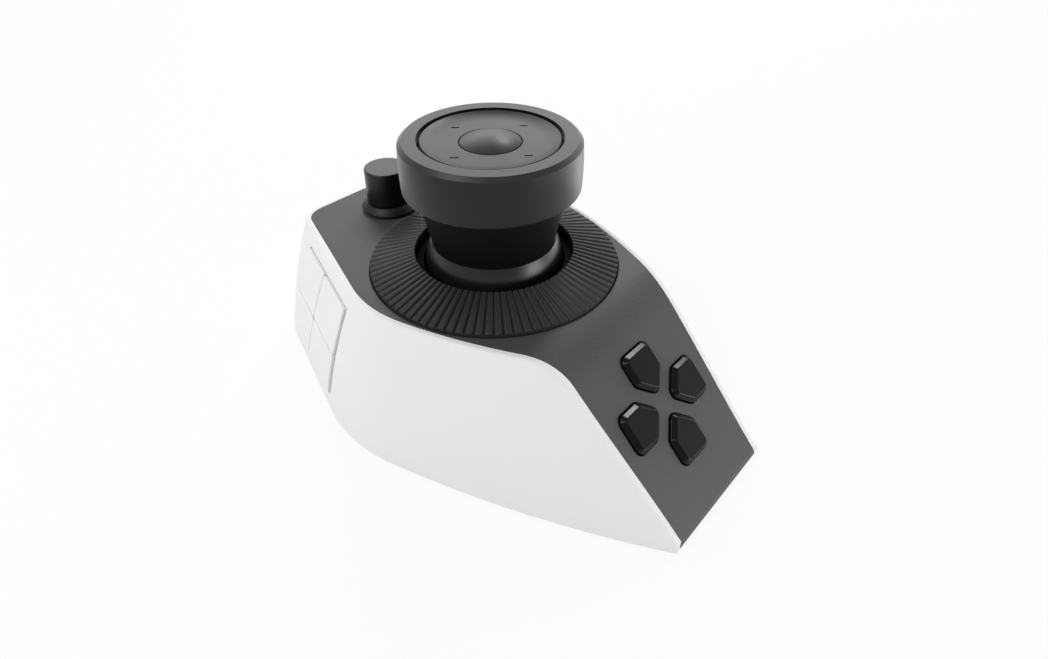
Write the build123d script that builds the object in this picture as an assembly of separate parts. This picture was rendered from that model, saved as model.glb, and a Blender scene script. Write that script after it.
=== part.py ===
from build123d import *
import os
from math import asin, cos, degrees, pi, radians, sin, sqrt, tan

# Editing console that stands on a desk: a white moulded shell with a dark saddle panel, a joystick
# with a rotary cup and a rocking disc, a ribbed dial, a small knob, four thumb keys and four finger keys.
# Millimetres. +Z up, front towards -Y, origin on the desk below the middle of the body.

# Clearances and the overrun of every cut
OVERRUN = 2.0
SEAT_GAP = 0.2
MOVING_GAP = 0.4
RUNNING_FIT = 0.05
PRESS_FIT = 0.02

# Level top at TOP_Z that bends down into the front slope; walls lean inwards and bulge a little
TOP_Z = 44.6
FOOT_DROP = 0.8
WALL_LEAN = 13.0
WALL_CROWN = 1.2
SLOPE_ANGLE = 44.7
FRONT_LIP = 2.5
BEND_R = 20.0
RIM = 1.6
RIM_ROUND = 1.0
WALL = 3.2
PANEL_T = 2.2
PANEL_GAP = 0.15

# Plan: margins round the dial and the knob, then rear corner, flat facet, round flank and bowed front wall
DIAL_SIDE_MARGIN = 3.0
DIAL_FRONT_MARGIN = 6.06
KNOB_SPACING = 2.0
REAR_MARGIN = 7.8
REAR_CORNER_R = 22.0
FACET_ANGLE = 19.7
FLANK_R = 54.0
FLANK_SETBACK = 7.3
FRONT_ANGLE = 13.6
FRONT_WIDTH_SHARE = 0.426
FRONT_TAPER_SHARE = 0.75

# Base plate, its bosses, screws and feet
BASE_T = 2.0
BOSS_R = 3.6
BOSS_H = 12.0
FRONT_BOSS_ALONG = 21.9
FRONT_BOSS_INSET = 6.9
REAR_BOSS_INSET = 8.5
SCREW_R = 1.25
SCREW_LENGTH = 9.0
SCREW_HEAD_R = 2.4
SCREW_HEAD_H = 1.3
FOOT_R = 6.5
FOOT_RECESS = 0.8
FRONT_FOOT_INSET = 6.66
FRONT_FOOT_SETBACK = 22.0
REAR_FOOT_SPREAD = 10.2
REAR_FOOT_SETBACK = 26.0

# Main board on posts, battery and rear socket
BOARD_T = 1.6
BOARD_WIDTH = 24.0
BOARD_SETBACK = 8.0
BOARD_POST_R = 2.0
BOARD_POST_H = 4.0
BOARD_POST_INSET = 4.0
BATTERY_WIDTH = 30.0
BATTERY_LENGTH = 30.0
BATTERY_H = 7.0
BATTERY_SETBACK = 42.0
BATTERY_SPACING = 3.0
BATTERY_ROUND = 2.5
SOCKET_WIDTH = 8.94
SOCKET_H = 3.26
SOCKET_WALL = 0.3
SOCKET_DEPTH = 7.3
SOCKET_SETBACK = 3.4
SOCKET_TONGUE_WIDTH = 6.7
SOCKET_TONGUE_T = 0.7
SOCKET_TONGUE_SETBACK = 0.9

# Dial: ribbed cone on a journal round the joystick, heights measured from the top
DIAL_R = 37.9
DIAL_RIM_RISE = 1.2
DIAL_BORE_RISE = 5.0
DIAL_BORE_MARGIN = 3.1
DIAL_T = 2.2
DIAL_LIP = 1.5
DIAL_SINK = 1.4
RIB_COUNT = 88
RIB_GROOVE = 0.9
RIB_DEPTH = 0.8
SKIRT_T = 1.9
SKIRT_DROP = 7.6
MAGNET_RING_H = 2.0
JOURNAL_SHARE = 0.4437
JOURNAL_T = 2.1
SOCKET_COLLAR_T = 2.0
SOCKET_COLLAR_RISE = 1.4
CARRIER_FLANGE = 4.0
CARRIER_DROP = 14.6
CARRIER_T = 2.5
LEG_R = 3.5

# Joystick: gimbal inside a ball skirt, then a widening neck and the spindle for the cup
PIVOT_DROP = 0.4
BALL_R = 21.0
BALL_T = 1.8
BALL_DROP = 4.2
BALL_CLEARANCE = 0.7
TRUNNION_R = 1.4
YOKE_R = 11.0
YOKE_BORE_R = 7.5
YOKE_H = 5.0
POST_T = 3.0
POST_GAP = 1.4
POST_WIDTH = 6.0
POST_TOP = 2.6
GIMBAL_PLATE_R = 26.0
GIMBAL_PLATE_T = 2.5
SENSOR_BOARD_R = 9.0
SENSOR_BOARD_T = 1.0
STICK_R = 3.5
STICK_DROP = 10.0
STICK_FLANGE_GAP = 0.9
STICK_FLANGE_T = 2.0
STICK_MAGNET_R = 3.0
STICK_MAGNET_H = 2.0
NECK_RISE = 9.1
NECK_H = 16.6
NECK_STEP = 0.43
NECK_FLARE = 3.5
SPINDLE_R = 9.0

# Cup: turned drum with a bulging side and a bevelled rim, on a long hub sunk in the neck
CUP_FOOT_R = 25.6
CUP_FOOT_ROUND = 0.5
CUP_BELLY_R = 25.75
CUP_BELLY_SHARE = 0.514
CUP_RIM_R = 25.45
CUP_BEVEL = 1.2
CUP_BEVEL_H = 1.1
CUP_WALL = 2.6
CUP_FLOOR_T = 2.2
CUP_HUB_T = 3.0
CUP_HUB_RISE = 0.3
CUP_HUB_DROP = 8.0
CUP_MOUTH_GAP = 0.7
CUP_MOUTH_T = 2.4

# Rocking disc with an upturned edge, its pivot ring and the domed centre button, carried by the spindle cap
CAP_R = 17.5
CAP_T = 1.4
TOWER_R = 5.0
TOWER_RISE = 1.4
TOP_BOARD_T = 1.0
DOME_SWITCH_R = 1.8
DOME_SWITCH_GAP = 1.1
DOME_SWITCH_CIRCLE_R = 14.0
ROCKER_RISE = 2.4
ROCKER_RING_R = 7.6
ROCKER_RING_BORE_R = 5.9
ROCKER_RING_H = 2.0
ROCKER_PIN_R = 0.6
CUP_TOP_RISE = 6.3
DISC_R = 19.6
DISC_T = 2.0
DISC_SINK = 0.4
DISC_DISH = 1.05
DISC_FLOOR_SHARE = 0.5
DISC_EDGE = 0.35
LUG_T = 1.3
LUG_WIDTH = 3.0
LUG_DROP = 1.4
BUTTON_R = 8.5
BUTTON_SINK = 1.4
BUTTON_CROWN = 2.2
BUTTON_SKIRT = 2.3
BUTTON_STEM_R = 3.0
BUTTON_TRAVEL = 0.8

# Small knob behind the dial, on an encoder under the panel
KNOB_RISE = 14.9
KNOB_TOP_R = 7.1
KNOB_FOOT_R = 7.5
KNOB_EDGE = 0.5
KNOB_BORE_DEPTH = 8.0
COLLAR_R = 9.6
COLLAR_TOP_R = 7.9
COLLAR_H = 3.2
COLLAR_UNDERCUT = 0.9
COLLAR_UNDERCUT_H = 0.8
COLLAR_LAND = 0.4
COLLAR_ROUND = 0.25
ENCODER_WIDTH = 12.0
ENCODER_H = 7.0
BUSHING_R = 4.6
BUSHING_RISE = 1.8
ENCODER_SHAFT_R = 3.0

# Thumb keys on the slope: four plates that point at one middle
PAD_CENTRE_SHARE = 0.5213
PAD_TIP = 3.06
PAD_END = 17.7
PAD_HALF = 6.1
PAD_CORNER = 2.3
PAD_PROUD = 1.8
PAD_BEVEL = 1.2
PAD_ROUND = 0.45
PAD_TRAVEL = 1.0
PAD_FLANGE = 0.8
PAD_FLANGE_T = 1.0
PAD_STEM_R = 1.5
PAD_STEM_LENGTH = 1.5
PAD_SWITCH_WIDTH = 4.5
PAD_SWITCH_H = 1.6
PAD_BOARD_T = 1.2
PAD_BOARD_HALF = 17.5
PAD_POST_R = 1.5
PAD_POST_INSET = 2.5

# Finger keys on the left facet: two rows of two, each edge slanted as the facet narrows
KEY_PROUD = 1.0
KEY_EDGE = 0.35
KEY_T = 2.6
KEY_GAP = 0.5
KEY_CORNER = 1.0
KEY_TRAVEL = 0.8
KEY_FOOT_V = 5.6
KEY_HEAD_MARGIN = 5.1
KEY_ROW_SHARE = 0.4743
KEY_FRONT_FOOT_U = 1.6
KEY_FRONT_HEAD_U = -2.6
KEY_REAR_FOOT_PAST = 1.0
KEY_REAR_HEAD_PAST = -8.0
KEY_DIVIDER_SHARE = 0.524
KEY_STEM_R = 2.0
KEY_STEM_FOOT = 7.2
KEY_FRAME_BACK = 6.6
KEY_FRAME_T = 1.5
KEY_FRAME_RIM = 1.6
KEY_SWITCH_WIDTH = 5.0
KEY_SWITCH_H = 1.6
KEY_BOARD_T = 1.2
KEY_POST_R = 1.8

# Length and width of the body, and the places of the dial and the knob on it
SLOPE = radians(SLOPE_ANGLE)
SLOPE_RUN = (TOP_Z - FRONT_LIP) / tan(SLOPE)
TOP_LENGTH = DIAL_FRONT_MARGIN + 2 * DIAL_R + KNOB_SPACING + 2 * COLLAR_R + REAR_MARGIN
BODY_LENGTH = SLOPE_RUN + TOP_LENGTH + RIM + WALL_LEAN
BODY_HALF_WIDTH = DIAL_R + DIAL_SIDE_MARGIN + RIM + WALL_LEAN
FRONT_HALF = BODY_HALF_WIDTH * FRONT_WIDTH_SHARE
REAR_Y = BODY_LENGTH / 2
FRONT_Y = -BODY_LENGTH / 2
DIAL_Y = FRONT_Y + SLOPE_RUN + DIAL_FRONT_MARGIN + DIAL_R
KNOB_Y = DIAL_Y + DIAL_R + KNOB_SPACING + COLLAR_R
DIAL_AXIS = Pos(0, DIAL_Y, 0)
KNOB_AXIS = Pos(0, KNOB_Y, 0)

# Levels of the shell, the boards and the dial
BASE_TOP_Z = FOOT_DROP + BASE_T
WALL_RISE = TOP_Z - FOOT_DROP
PANEL_UNDER_Z = TOP_Z - PANEL_T
BOARD_Z = BASE_TOP_Z + BOARD_POST_H
DIAL_RIM_Z = TOP_Z + DIAL_RIM_RISE
DIAL_BORE_Z = TOP_Z + DIAL_BORE_RISE
DIAL_BORE_R = BALL_R + DIAL_BORE_MARGIN
SKIRT_FOOT_Z = TOP_Z - SKIRT_DROP
BALL_BORE_R = BALL_R + BALL_CLEARANCE
SOCKET_COLLAR_R = BALL_BORE_R + SOCKET_COLLAR_T
JOURNAL_R = SOCKET_COLLAR_R + (DIAL_R - SOCKET_COLLAR_R) * JOURNAL_SHARE
CARRIER_R = JOURNAL_R + CARRIER_FLANGE
CARRIER_Z = TOP_Z - CARRIER_DROP
CARRIER_TOP_Z = CARRIER_Z + CARRIER_T
SOCKET_COLLAR_Z = TOP_Z + SOCKET_COLLAR_RISE
KNOB_TOP_Z = TOP_Z + KNOB_RISE
KNOB_FOOT_Z = TOP_Z + COLLAR_H + MOVING_GAP

# Levels of the joystick from its pivot up to the top of the cup
PIVOT_Z = TOP_Z - PIVOT_DROP
BALL_FOOT_Z = PIVOT_Z - BALL_DROP
STICK_FOOT_Z = PIVOT_Z - STICK_DROP
STICK_FLANGE_R = sqrt((BALL_R - BALL_T) ** 2 - NECK_RISE ** 2) - STICK_FLANGE_GAP
NECK_FOOT_Z = PIVOT_Z + NECK_RISE
NECK_FOOT_R = sqrt(BALL_R ** 2 - NECK_RISE ** 2) - NECK_STEP
NECK_TOP_Z = NECK_FOOT_Z + NECK_H
CUP_FOOT_Z = NECK_TOP_Z + MOVING_GAP
CUP_FLOOR_Z = CUP_FOOT_Z + CUP_FLOOR_T
CUP_HUB_R = SPINDLE_R + CUP_HUB_T
CUP_HUB_Z = CUP_FOOT_Z - CUP_HUB_DROP
CUP_HUB_TOP_Z = CUP_FLOOR_Z + CUP_HUB_RISE
SPINDLE_TOP_Z = CUP_HUB_TOP_Z + MOVING_GAP
CAP_TOP_Z = SPINDLE_TOP_Z + CAP_T
TOP_BOARD_Z = CAP_TOP_Z + TOP_BOARD_T
ROCKER_Z = TOP_BOARD_Z + ROCKER_RISE
TOWER_TOP_Z = ROCKER_Z + TOWER_RISE
CUP_TOP_Z = ROCKER_Z + CUP_TOP_RISE
DISC_TOP_Z = CUP_TOP_Z - DISC_SINK
DISC_FLOOR_Z = DISC_TOP_Z - DISC_DISH
DISC_BORE_R = BUTTON_R + MOVING_GAP
DISC_FLOOR_R = DISC_BORE_R + (DISC_R - DISC_BORE_R) * DISC_FLOOR_SHARE
BUTTON_EDGE_Z = CUP_TOP_Z - BUTTON_SINK

# Levels of the thumb keys above the slope and depths of the finger keys into the wall
PAD_FLANGE_Z = -PANEL_T - MOVING_GAP
PAD_STEM_Z = PAD_FLANGE_Z - PAD_FLANGE_T - PAD_STEM_LENGTH
PAD_BOARD_Z = PAD_STEM_Z - PAD_TRAVEL - MOVING_GAP - PAD_SWITCH_H
KEY_SWITCH_TOP = KEY_STEM_FOOT + KEY_TRAVEL + MOVING_GAP
KEY_HEAD_V = sqrt(WALL_RISE ** 2 + WALL_LEAN ** 2) - KEY_HEAD_MARGIN
KEY_MIDDLE_V = KEY_FOOT_V + (KEY_HEAD_V - KEY_FOOT_V) * KEY_ROW_SHARE


def heading_vector(angle):
    """Unit vector in plan along a heading in degrees from +X."""
    return Vector(cos(radians(angle)), sin(radians(angle)))


def left_arc(start, heading, radius, turn):
    """Arc that leaves start along heading and turns left; gives the arc and its end."""
    centre = start + heading_vector(heading + 90) * radius
    middle = centre + heading_vector(heading + turn / 2 - 90) * radius
    end = centre + heading_vector(heading + turn - 90) * radius
    return ThreePointArc(start, middle, end), end


def flank_point(angle, inset):
    """Point of the round flank in plan at an angle in degrees, with the wall moved inwards."""
    return FLANK_CENTRE + heading_vector(angle) * (FLANK_R - inset)


def rear_corner_centre():
    """Middle of the left rear corner in plan, where its arc touches the rear wall and the facet."""
    outwards = heading_vector(180 - FACET_ANGLE)
    centre_y = REAR_Y - REAR_CORNER_R
    reach = FLANK_R - REAR_CORNER_R - (centre_y - FLANK_CENTRE.Y) * outwards.Y
    return Vector(FLANK_CENTRE.X + reach / outwards.X, centre_y)


def front_wall_radius(level):
    """Radius at a level of the wall that runs on from the flank to the front corner, which tapers upwards."""
    lean = wall_lean(level)
    front_half = FRONT_HALF * (1 - FRONT_TAPER_SHARE * (level - FOOT_DROP) / WALL_RISE)
    chord = Vector(-front_half, FRONT_Y + lean) - flank_point(180 + FRONT_ANGLE, lean)
    return chord.dot(chord) / (2 * chord.dot(heading_vector(FRONT_ANGLE)))


FLANK_CENTRE = Vector(FLANK_R - BODY_HALF_WIDTH, DIAL_Y + FLANK_SETBACK)
REAR_CORNER = rear_corner_centre()


def facet_ends(inset):
    """Rear and front end of the flat finger facet in plan, with the wall moved inwards."""
    rear_end = REAR_CORNER + heading_vector(180 - FACET_ANGLE) * (REAR_CORNER_R - inset)
    return rear_end, flank_point(180 - FACET_ANGLE, inset)


def outline(level, inset, front_inset):
    """Body outline at a level as one face, every wall moved inwards by inset and the front edge by its own."""
    lean = wall_lean(level)
    depth = inset + lean
    corner = Vector(REAR_CORNER.X, REAR_Y - depth)
    rear_end, facet_front = facet_ends(depth)
    rear_arc = left_arc(corner, 180, REAR_CORNER_R - depth, 90 - FACET_ANGLE)[0]
    flank, flank_end = left_arc(facet_front, 270 - FACET_ANGLE, FLANK_R - depth, FACET_ANGLE + FRONT_ANGLE)
    heading = 270 + FRONT_ANGLE
    radius = front_wall_radius(level) - inset
    centre = flank_end + heading_vector(heading + 90) * radius
    drop = degrees(asin((centre.Y - FRONT_Y - lean - front_inset) / radius))
    front_wall, front_corner = left_arc(flank_end, heading, radius, 270 + drop - heading)
    left = [rear_arc, Line(rear_end, facet_front), flank, front_wall]
    right = [mirror(edge, about=Plane.YZ) for edge in left]
    rear = Line(Vector(-corner.X, corner.Y), corner)
    front = Line(front_corner, Vector(-front_corner.X, front_corner.Y))
    return make_face([rear] + left + [front] + right)


def wall_lean(height):
    """How far the walls have come in at a height: a straight lean less a small bulge."""
    share = (height - FOOT_DROP) / WALL_RISE
    return WALL_LEAN * share - 4 * WALL_CROWN * share * (1 - share)


def body_block(inset, front_inset=0, foot=FOOT_DROP):
    """Drafted and crowned block of the body with its walls and its front edge moved inwards."""
    sections = []
    for level in (foot, FOOT_DROP + WALL_RISE / 2, TOP_Z + OVERRUN):
        sections.append(Pos(0, 0, level) * outline(level, inset, front_inset))
    return loft(sections)


def under_top(depth):
    """Everything below the top face, the bend and the front slope, moved down by depth."""
    top = TOP_Z - depth
    slope_foot = FRONT_Y - FRONT_LIP / tan(SLOPE) + depth / sin(SLOPE)
    bend_y = slope_foot + top / tan(SLOPE)
    foot = -WALL
    rear = REAR_Y + OVERRUN
    front = slope_foot + foot / tan(SLOPE)
    profile = Polygon((rear, foot), (rear, top), (bend_y, top), (front, foot), align=None)
    bend = profile.vertices().sort_by_distance((bend_y, top))[0]
    profile = fillet(bend, BEND_R - depth)
    return extrude(Plane.YZ * profile, BODY_LENGTH / 2, both=True)


def tube(outer, bore, foot, head):
    """Upright ring between two levels."""
    ring = Circle(outer) - Circle(bore)
    return Pos(0, 0, foot) * extrude(ring, head - foot)


def rod(radius, foot, head):
    """Upright round bar between two levels."""
    return Pos(0, 0, foot) * extrude(Circle(radius), head - foot)


def slab(width, length, foot, head, corner=0):
    """Upright block between two levels, with rounded corners where a corner radius is given."""
    shape = RectangleRounded(width, length, corner) if corner else Rectangle(width, length)
    return Pos(0, 0, foot) * extrude(shape, head - foot)


def turned(*edges):
    """Solid of revolution about Z from a closed profile in the XZ plane."""
    return revolve(Plane.XZ * make_face(edges), Axis.Z)


def turned_polygon(*points):
    """Solid of revolution about Z from straight profile runs."""
    return revolve(Plane.XZ * Polygon(*points, align=None), Axis.Z)


def facet_plane():
    """Plane of the left facet: X runs rearwards from its front end, Y up the wall, Z into the body."""
    foot = facet_ends(0)[1]
    head = facet_ends(wall_lean(TOP_Z))[1]
    along = heading_vector(90 - FACET_ANGLE)
    up = Vector(head.X - foot.X, head.Y - foot.Y, WALL_RISE)
    return Plane(origin=(foot.X, foot.Y, FOOT_DROP), x_dir=along, z_dir=along.cross(up))


def slope_plane():
    """Plane of the front slope at the middle of the thumb keys: Y runs up the slope, Z outwards."""
    rise = (TOP_Z - FRONT_LIP) * PAD_CENTRE_SHARE
    origin = (0, FRONT_Y + rise / tan(SLOPE), FRONT_LIP + rise)
    return Plane(origin=origin, x_dir=(1, 0, 0), z_dir=(0, -sin(SLOPE), cos(SLOPE)))


FACET = facet_plane()
PAD = slope_plane()
FRONT_BOSS = flank_point(180 + FRONT_ANGLE, FRONT_BOSS_INSET)
FRONT_BOSS += heading_vector(270 + FRONT_ANGLE) * FRONT_BOSS_ALONG
FRONT_FOOT_X = FRONT_HALF - FRONT_FOOT_INSET
REAR_FOOT_X = REAR_FOOT_SPREAD - REAR_CORNER.X
BOSS_PLACES = [Pos(side * FRONT_BOSS.X, FRONT_BOSS.Y, 0) for side in (-1, 1)]
BOSS_PLACES += [Pos(side * REAR_CORNER.X, REAR_Y - REAR_BOSS_INSET, 0) for side in (-1, 1)]
FOOT_PLACES = [Pos(side * FRONT_FOOT_X, FRONT_Y + FRONT_FOOT_SETBACK, 0) for side in (-1, 1)]
FOOT_PLACES += [Pos(side * REAR_FOOT_X, REAR_Y - REAR_FOOT_SETBACK, 0) for side in (-1, 1)]
LEG_PLACES = list(PolarLocations(JOURNAL_R, 4, start_angle=45))
SCREW_PLACES = BOSS_PLACES + [DIAL_AXIS * place for place in LEG_PLACES]
BATTERY_Y = FRONT_Y + BATTERY_SETBACK
BOARD_FRONT_Y = BATTERY_Y + BATTERY_LENGTH / 2 + BATTERY_SPACING
BOARD_REAR_Y = REAR_Y - BOARD_SETBACK


def key_edges(row_foot, row_head, foot_u, head_u):
    """Where a slanted key edge crosses the lower and upper side of a row."""
    span = KEY_HEAD_V - KEY_FOOT_V
    return [foot_u + (head_u - foot_u) * (v - KEY_FOOT_V) / span for v in (row_foot, row_head)]


def key_cell(row_foot, row_head, front, rear, trim, corner=KEY_CORNER):
    """Four-sided key outline on the facet, drawn in by trim; a negative trim draws it out."""
    front_foot, front_head = key_edges(row_foot, row_head, *front)
    rear_foot, rear_head = key_edges(row_foot, row_head, *rear)
    corners = [(front_foot, row_foot), (rear_foot, row_foot), (rear_head, row_head), (front_head, row_head)]
    cell = offset(Polygon(*corners, align=None), -trim, kind=Kind.INTERSECTION)
    return fillet(cell.vertices(), corner)


FACET_LENGTH = (facet_ends(0)[0] - facet_ends(0)[1]).length
KEY_FRONT = (KEY_FRONT_FOOT_U, KEY_FRONT_HEAD_U)
KEY_REAR = (FACET_LENGTH + KEY_REAR_FOOT_PAST, FACET_LENGTH + KEY_REAR_HEAD_PAST)
KEY_DIVIDER = [front + (rear - front) * KEY_DIVIDER_SHARE for front, rear in zip(KEY_FRONT, KEY_REAR)]
KEY_CELLS = {
    "finger_key_lower_front": (KEY_FOOT_V, KEY_MIDDLE_V, KEY_FRONT, KEY_DIVIDER),
    "finger_key_lower_rear": (KEY_FOOT_V, KEY_MIDDLE_V, KEY_DIVIDER, KEY_REAR),
    "finger_key_upper_front": (KEY_MIDDLE_V, KEY_HEAD_V, KEY_FRONT, KEY_DIVIDER),
    "finger_key_upper_rear": (KEY_MIDDLE_V, KEY_HEAD_V, KEY_DIVIDER, KEY_REAR),
}
KEY_WINDOW = (KEY_FOOT_V, KEY_HEAD_V, KEY_FRONT, KEY_REAR)
KEY_CENTRES = {name: key_cell(*cell, KEY_GAP / 2).center() for name, cell in KEY_CELLS.items()}


def through_facet(sketch, low, high):
    """Prism on the facet between two depths measured into the body."""
    return FACET * (Pos(0, 0, low) * extrude(sketch, high - low))


def on_pad(sketch, low, high):
    """Prism on the slope between two depths measured outwards from it."""
    return PAD * (Pos(0, 0, low) * extrude(sketch, high - low))


def pad_key_outline(grow=0, corner=PAD_CORNER):
    """Outline of the thumb key up the slope: a flat-ended plate with a square point at the middle."""
    shoulder = PAD_TIP + PAD_HALF
    right = [(0, PAD_TIP), (PAD_HALF, shoulder), (PAD_HALF, PAD_END)]
    plate = Polygon(*right, (-PAD_HALF, PAD_END), (-PAD_HALF, shoulder), align=None)
    if grow:
        plate = offset(plate, grow, kind=Kind.INTERSECTION)
    return fillet(plate.vertices(), corner)


PAD_TURNS = {"thumb_key_up": 0, "thumb_key_left": 90, "thumb_key_down": 180, "thumb_key_right": 270}


def make_shell():
    """White shell: leaning walls with a rounded rim, a ledge for the panel, key window and socket slot."""
    outer = body_block(0) & under_top(0)
    rim_edges = []
    for edge in outer.edges():
        middle = edge @ 0.5
        on_top = abs(middle.Z - TOP_Z) < PANEL_GAP
        slope_z = FRONT_LIP + (middle.Y - FRONT_Y) * tan(SLOPE)
        on_slope = abs(middle.Z - slope_z) < PANEL_GAP and middle.Z > FRONT_LIP + RIM
        across = edge.bounding_box().size.Y < PANEL_GAP and middle.Y < 0
        if (on_top or on_slope) and not across:
            rim_edges.append(edge)
    outer = fillet(rim_edges, RIM_ROUND)
    recess = body_block(RIM, -OVERRUN, -OVERRUN) - under_top(PANEL_T)
    cavity = body_block(WALL, WALL, -OVERRUN) & under_top(PANEL_T)
    shell = outer - recess - cavity
    boss = rod(BOSS_R, BASE_TOP_Z, BASE_TOP_Z + BOSS_H)
    hole = rod(SCREW_R, BASE_TOP_Z, BASE_TOP_Z + BOSS_H)
    shell += [place * boss & body_block(RIM) for place in BOSS_PLACES]
    shell -= [place * hole for place in BOSS_PLACES]
    window = through_facet(key_cell(*KEY_WINDOW, -KEY_GAP / 2), -WALL - OVERRUN, WALL + OVERRUN)
    slot = SlotOverall(SOCKET_WIDTH + MOVING_GAP, SOCKET_H + MOVING_GAP)
    middle_z = BOARD_Z + BOARD_T + SOCKET_H / 2
    rear = Plane(origin=(0, REAR_Y, middle_z), x_dir=(1, 0, 0), z_dir=(0, -1, 0))
    slot_cut = extrude(rear * slot, REAR_CORNER_R)
    return shell - window - slot_cut


def make_panel():
    """Dark saddle panel with the dial opening, the knob hole, the key holes and posts for the key board."""
    panel = (under_top(0) - under_top(PANEL_T)) & body_block(RIM + PANEL_GAP)
    panel -= DIAL_AXIS * rod(DIAL_R + MOVING_GAP, PANEL_UNDER_Z - OVERRUN, TOP_Z + OVERRUN)
    panel -= KNOB_AXIS * rod(BUSHING_R + SEAT_GAP, PANEL_UNDER_Z - OVERRUN, TOP_Z + OVERRUN)
    for turn in PAD_TURNS.values():
        hole = Rot(0, 0, turn) * pad_key_outline(MOVING_GAP, PAD_CORNER + MOVING_GAP)
        panel -= on_pad(hole, -PANEL_T - OVERRUN, OVERRUN)
    reach = PAD_BOARD_HALF - PAD_POST_INSET
    posts = Sketch() + GridLocations(2 * reach, 2 * reach, 2, 2) * Circle(PAD_POST_R)
    return panel + on_pad(posts, PAD_BOARD_Z, -PANEL_T)


def make_base():
    """Base plate with counterbored screw holes, foot recesses and board posts."""
    inset = WALL + SEAT_GAP
    inner = body_block(inset, inset, -OVERRUN) & under_top(PANEL_T + SEAT_GAP)
    base = inner & slab(BODY_LENGTH, BODY_LENGTH, FOOT_DROP, BASE_TOP_Z)
    for place in SCREW_PLACES:
        base -= place * rod(SCREW_R + SEAT_GAP, 0, BASE_TOP_Z + OVERRUN)
        base -= place * rod(SCREW_HEAD_R + SEAT_GAP, 0, FOOT_DROP + SCREW_HEAD_H)
    for place in FOOT_PLACES:
        base -= place * rod(FOOT_R + SEAT_GAP, 0, FOOT_DROP + FOOT_RECESS)
    return base + [place * rod(BOARD_POST_R, BASE_TOP_Z, BOARD_Z) for place in board_posts()]


def board_posts():
    """Places of the four posts under the main board."""
    length = BOARD_REAR_Y - BOARD_FRONT_Y
    grid = GridLocations(BOARD_WIDTH - 2 * BOARD_POST_INSET, length - 2 * BOARD_POST_INSET, 2, 2)
    return [Pos(0, (BOARD_REAR_Y + BOARD_FRONT_Y) / 2, 0) * place for place in grid]


def make_screw():
    """Pan-head screw that stands head down in the base plate."""
    seat = FOOT_DROP + SCREW_HEAD_H
    head = rod(SCREW_HEAD_R, FOOT_DROP + PRESS_FIT, seat)
    return head + rod(SCREW_R - PRESS_FIT, seat, seat + SCREW_LENGTH)


def make_foot():
    """Round rubber foot with a softened lower edge."""
    foot = rod(FOOT_R, 0, FOOT_DROP + FOOT_RECESS)
    return fillet(foot.edges().group_by(Axis.Z)[0], FOOT_DROP / 2)


def make_board():
    """Main board under the joystick, reaching back to the rear socket."""
    length = BOARD_REAR_Y - BOARD_FRONT_Y
    board = slab(BOARD_WIDTH, length, BOARD_Z, BOARD_Z + BOARD_T, BOARD_POST_R)
    return Pos(0, (BOARD_REAR_Y + BOARD_FRONT_Y) / 2, 0) * board


def make_battery():
    """Pouch cell with rounded edges on the base plate in the front slope."""
    cell = Pos(0, BATTERY_Y, 0) * slab(BATTERY_WIDTH, BATTERY_LENGTH, BASE_TOP_Z, BASE_TOP_Z + BATTERY_H)
    return fillet(cell.edges().filter_by(Axis.Y), BATTERY_ROUND)


def make_socket():
    """Rear socket: a drawn slot-shaped sleeve with a back wall and a contact tongue."""
    middle_z = BOARD_Z + BOARD_T + SOCKET_H / 2
    mouth = Plane(origin=(0, REAR_Y - SOCKET_SETBACK, middle_z), x_dir=(1, 0, 0), z_dir=(0, -1, 0))
    sleeve = extrude(mouth * SlotOverall(SOCKET_WIDTH, SOCKET_H), SOCKET_DEPTH)
    hollow = SlotOverall(SOCKET_WIDTH - 2 * SOCKET_WALL, SOCKET_H - 2 * SOCKET_WALL)
    sleeve -= extrude(mouth * hollow, SOCKET_DEPTH - SOCKET_WALL * 2)
    tongue = mouth.offset(SOCKET_TONGUE_SETBACK) * Rectangle(SOCKET_TONGUE_WIDTH, SOCKET_TONGUE_T)
    return sleeve + extrude(tongue, SOCKET_DEPTH - SOCKET_TONGUE_SETBACK)


def dial_top(radius):
    """Height of the dial's cone at a radius."""
    return DIAL_BORE_Z + (DIAL_RIM_Z - DIAL_BORE_Z) * (radius - DIAL_BORE_R) / (DIAL_R - DIAL_BORE_R)


def make_dial():
    """Ribbed cone with a turned-down lip and a skirt that runs on the journal."""
    skirt_bore = JOURNAL_R + RUNNING_FIT
    skirt_r = skirt_bore + SKIRT_T
    lip_r = DIAL_R - DIAL_LIP
    foot = TOP_Z - DIAL_SINK
    profile = [
        (DIAL_BORE_R, DIAL_BORE_Z),
        (DIAL_R, DIAL_RIM_Z),
        (DIAL_R, foot),
        (lip_r, foot),
        (lip_r, dial_top(lip_r) - DIAL_T),
        (skirt_r, dial_top(skirt_r) - DIAL_T),
        (skirt_r, SKIRT_FOOT_Z),
        (skirt_bore, SKIRT_FOOT_Z),
        (skirt_bore, dial_top(skirt_bore) - DIAL_T),
        (DIAL_BORE_R, DIAL_BORE_Z - DIAL_T),
    ]
    dial = turned_polygon(*profile)
    fall = degrees(asin((DIAL_BORE_Z - DIAL_RIM_Z) / (DIAL_R - DIAL_BORE_R)))
    middle_r = (DIAL_R + DIAL_BORE_R) / 2
    groove = Box(2 * (DIAL_R - DIAL_BORE_R), RIB_GROOVE, 2 * RIB_DEPTH)
    cutter = Pos(middle_r, 0, dial_top(middle_r)) * Rot(0, fall, 0) * groove
    return DIAL_AXIS * (dial - [Rot(0, 0, 360 * rib / RIB_COUNT) * cutter for rib in range(RIB_COUNT)])


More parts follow.
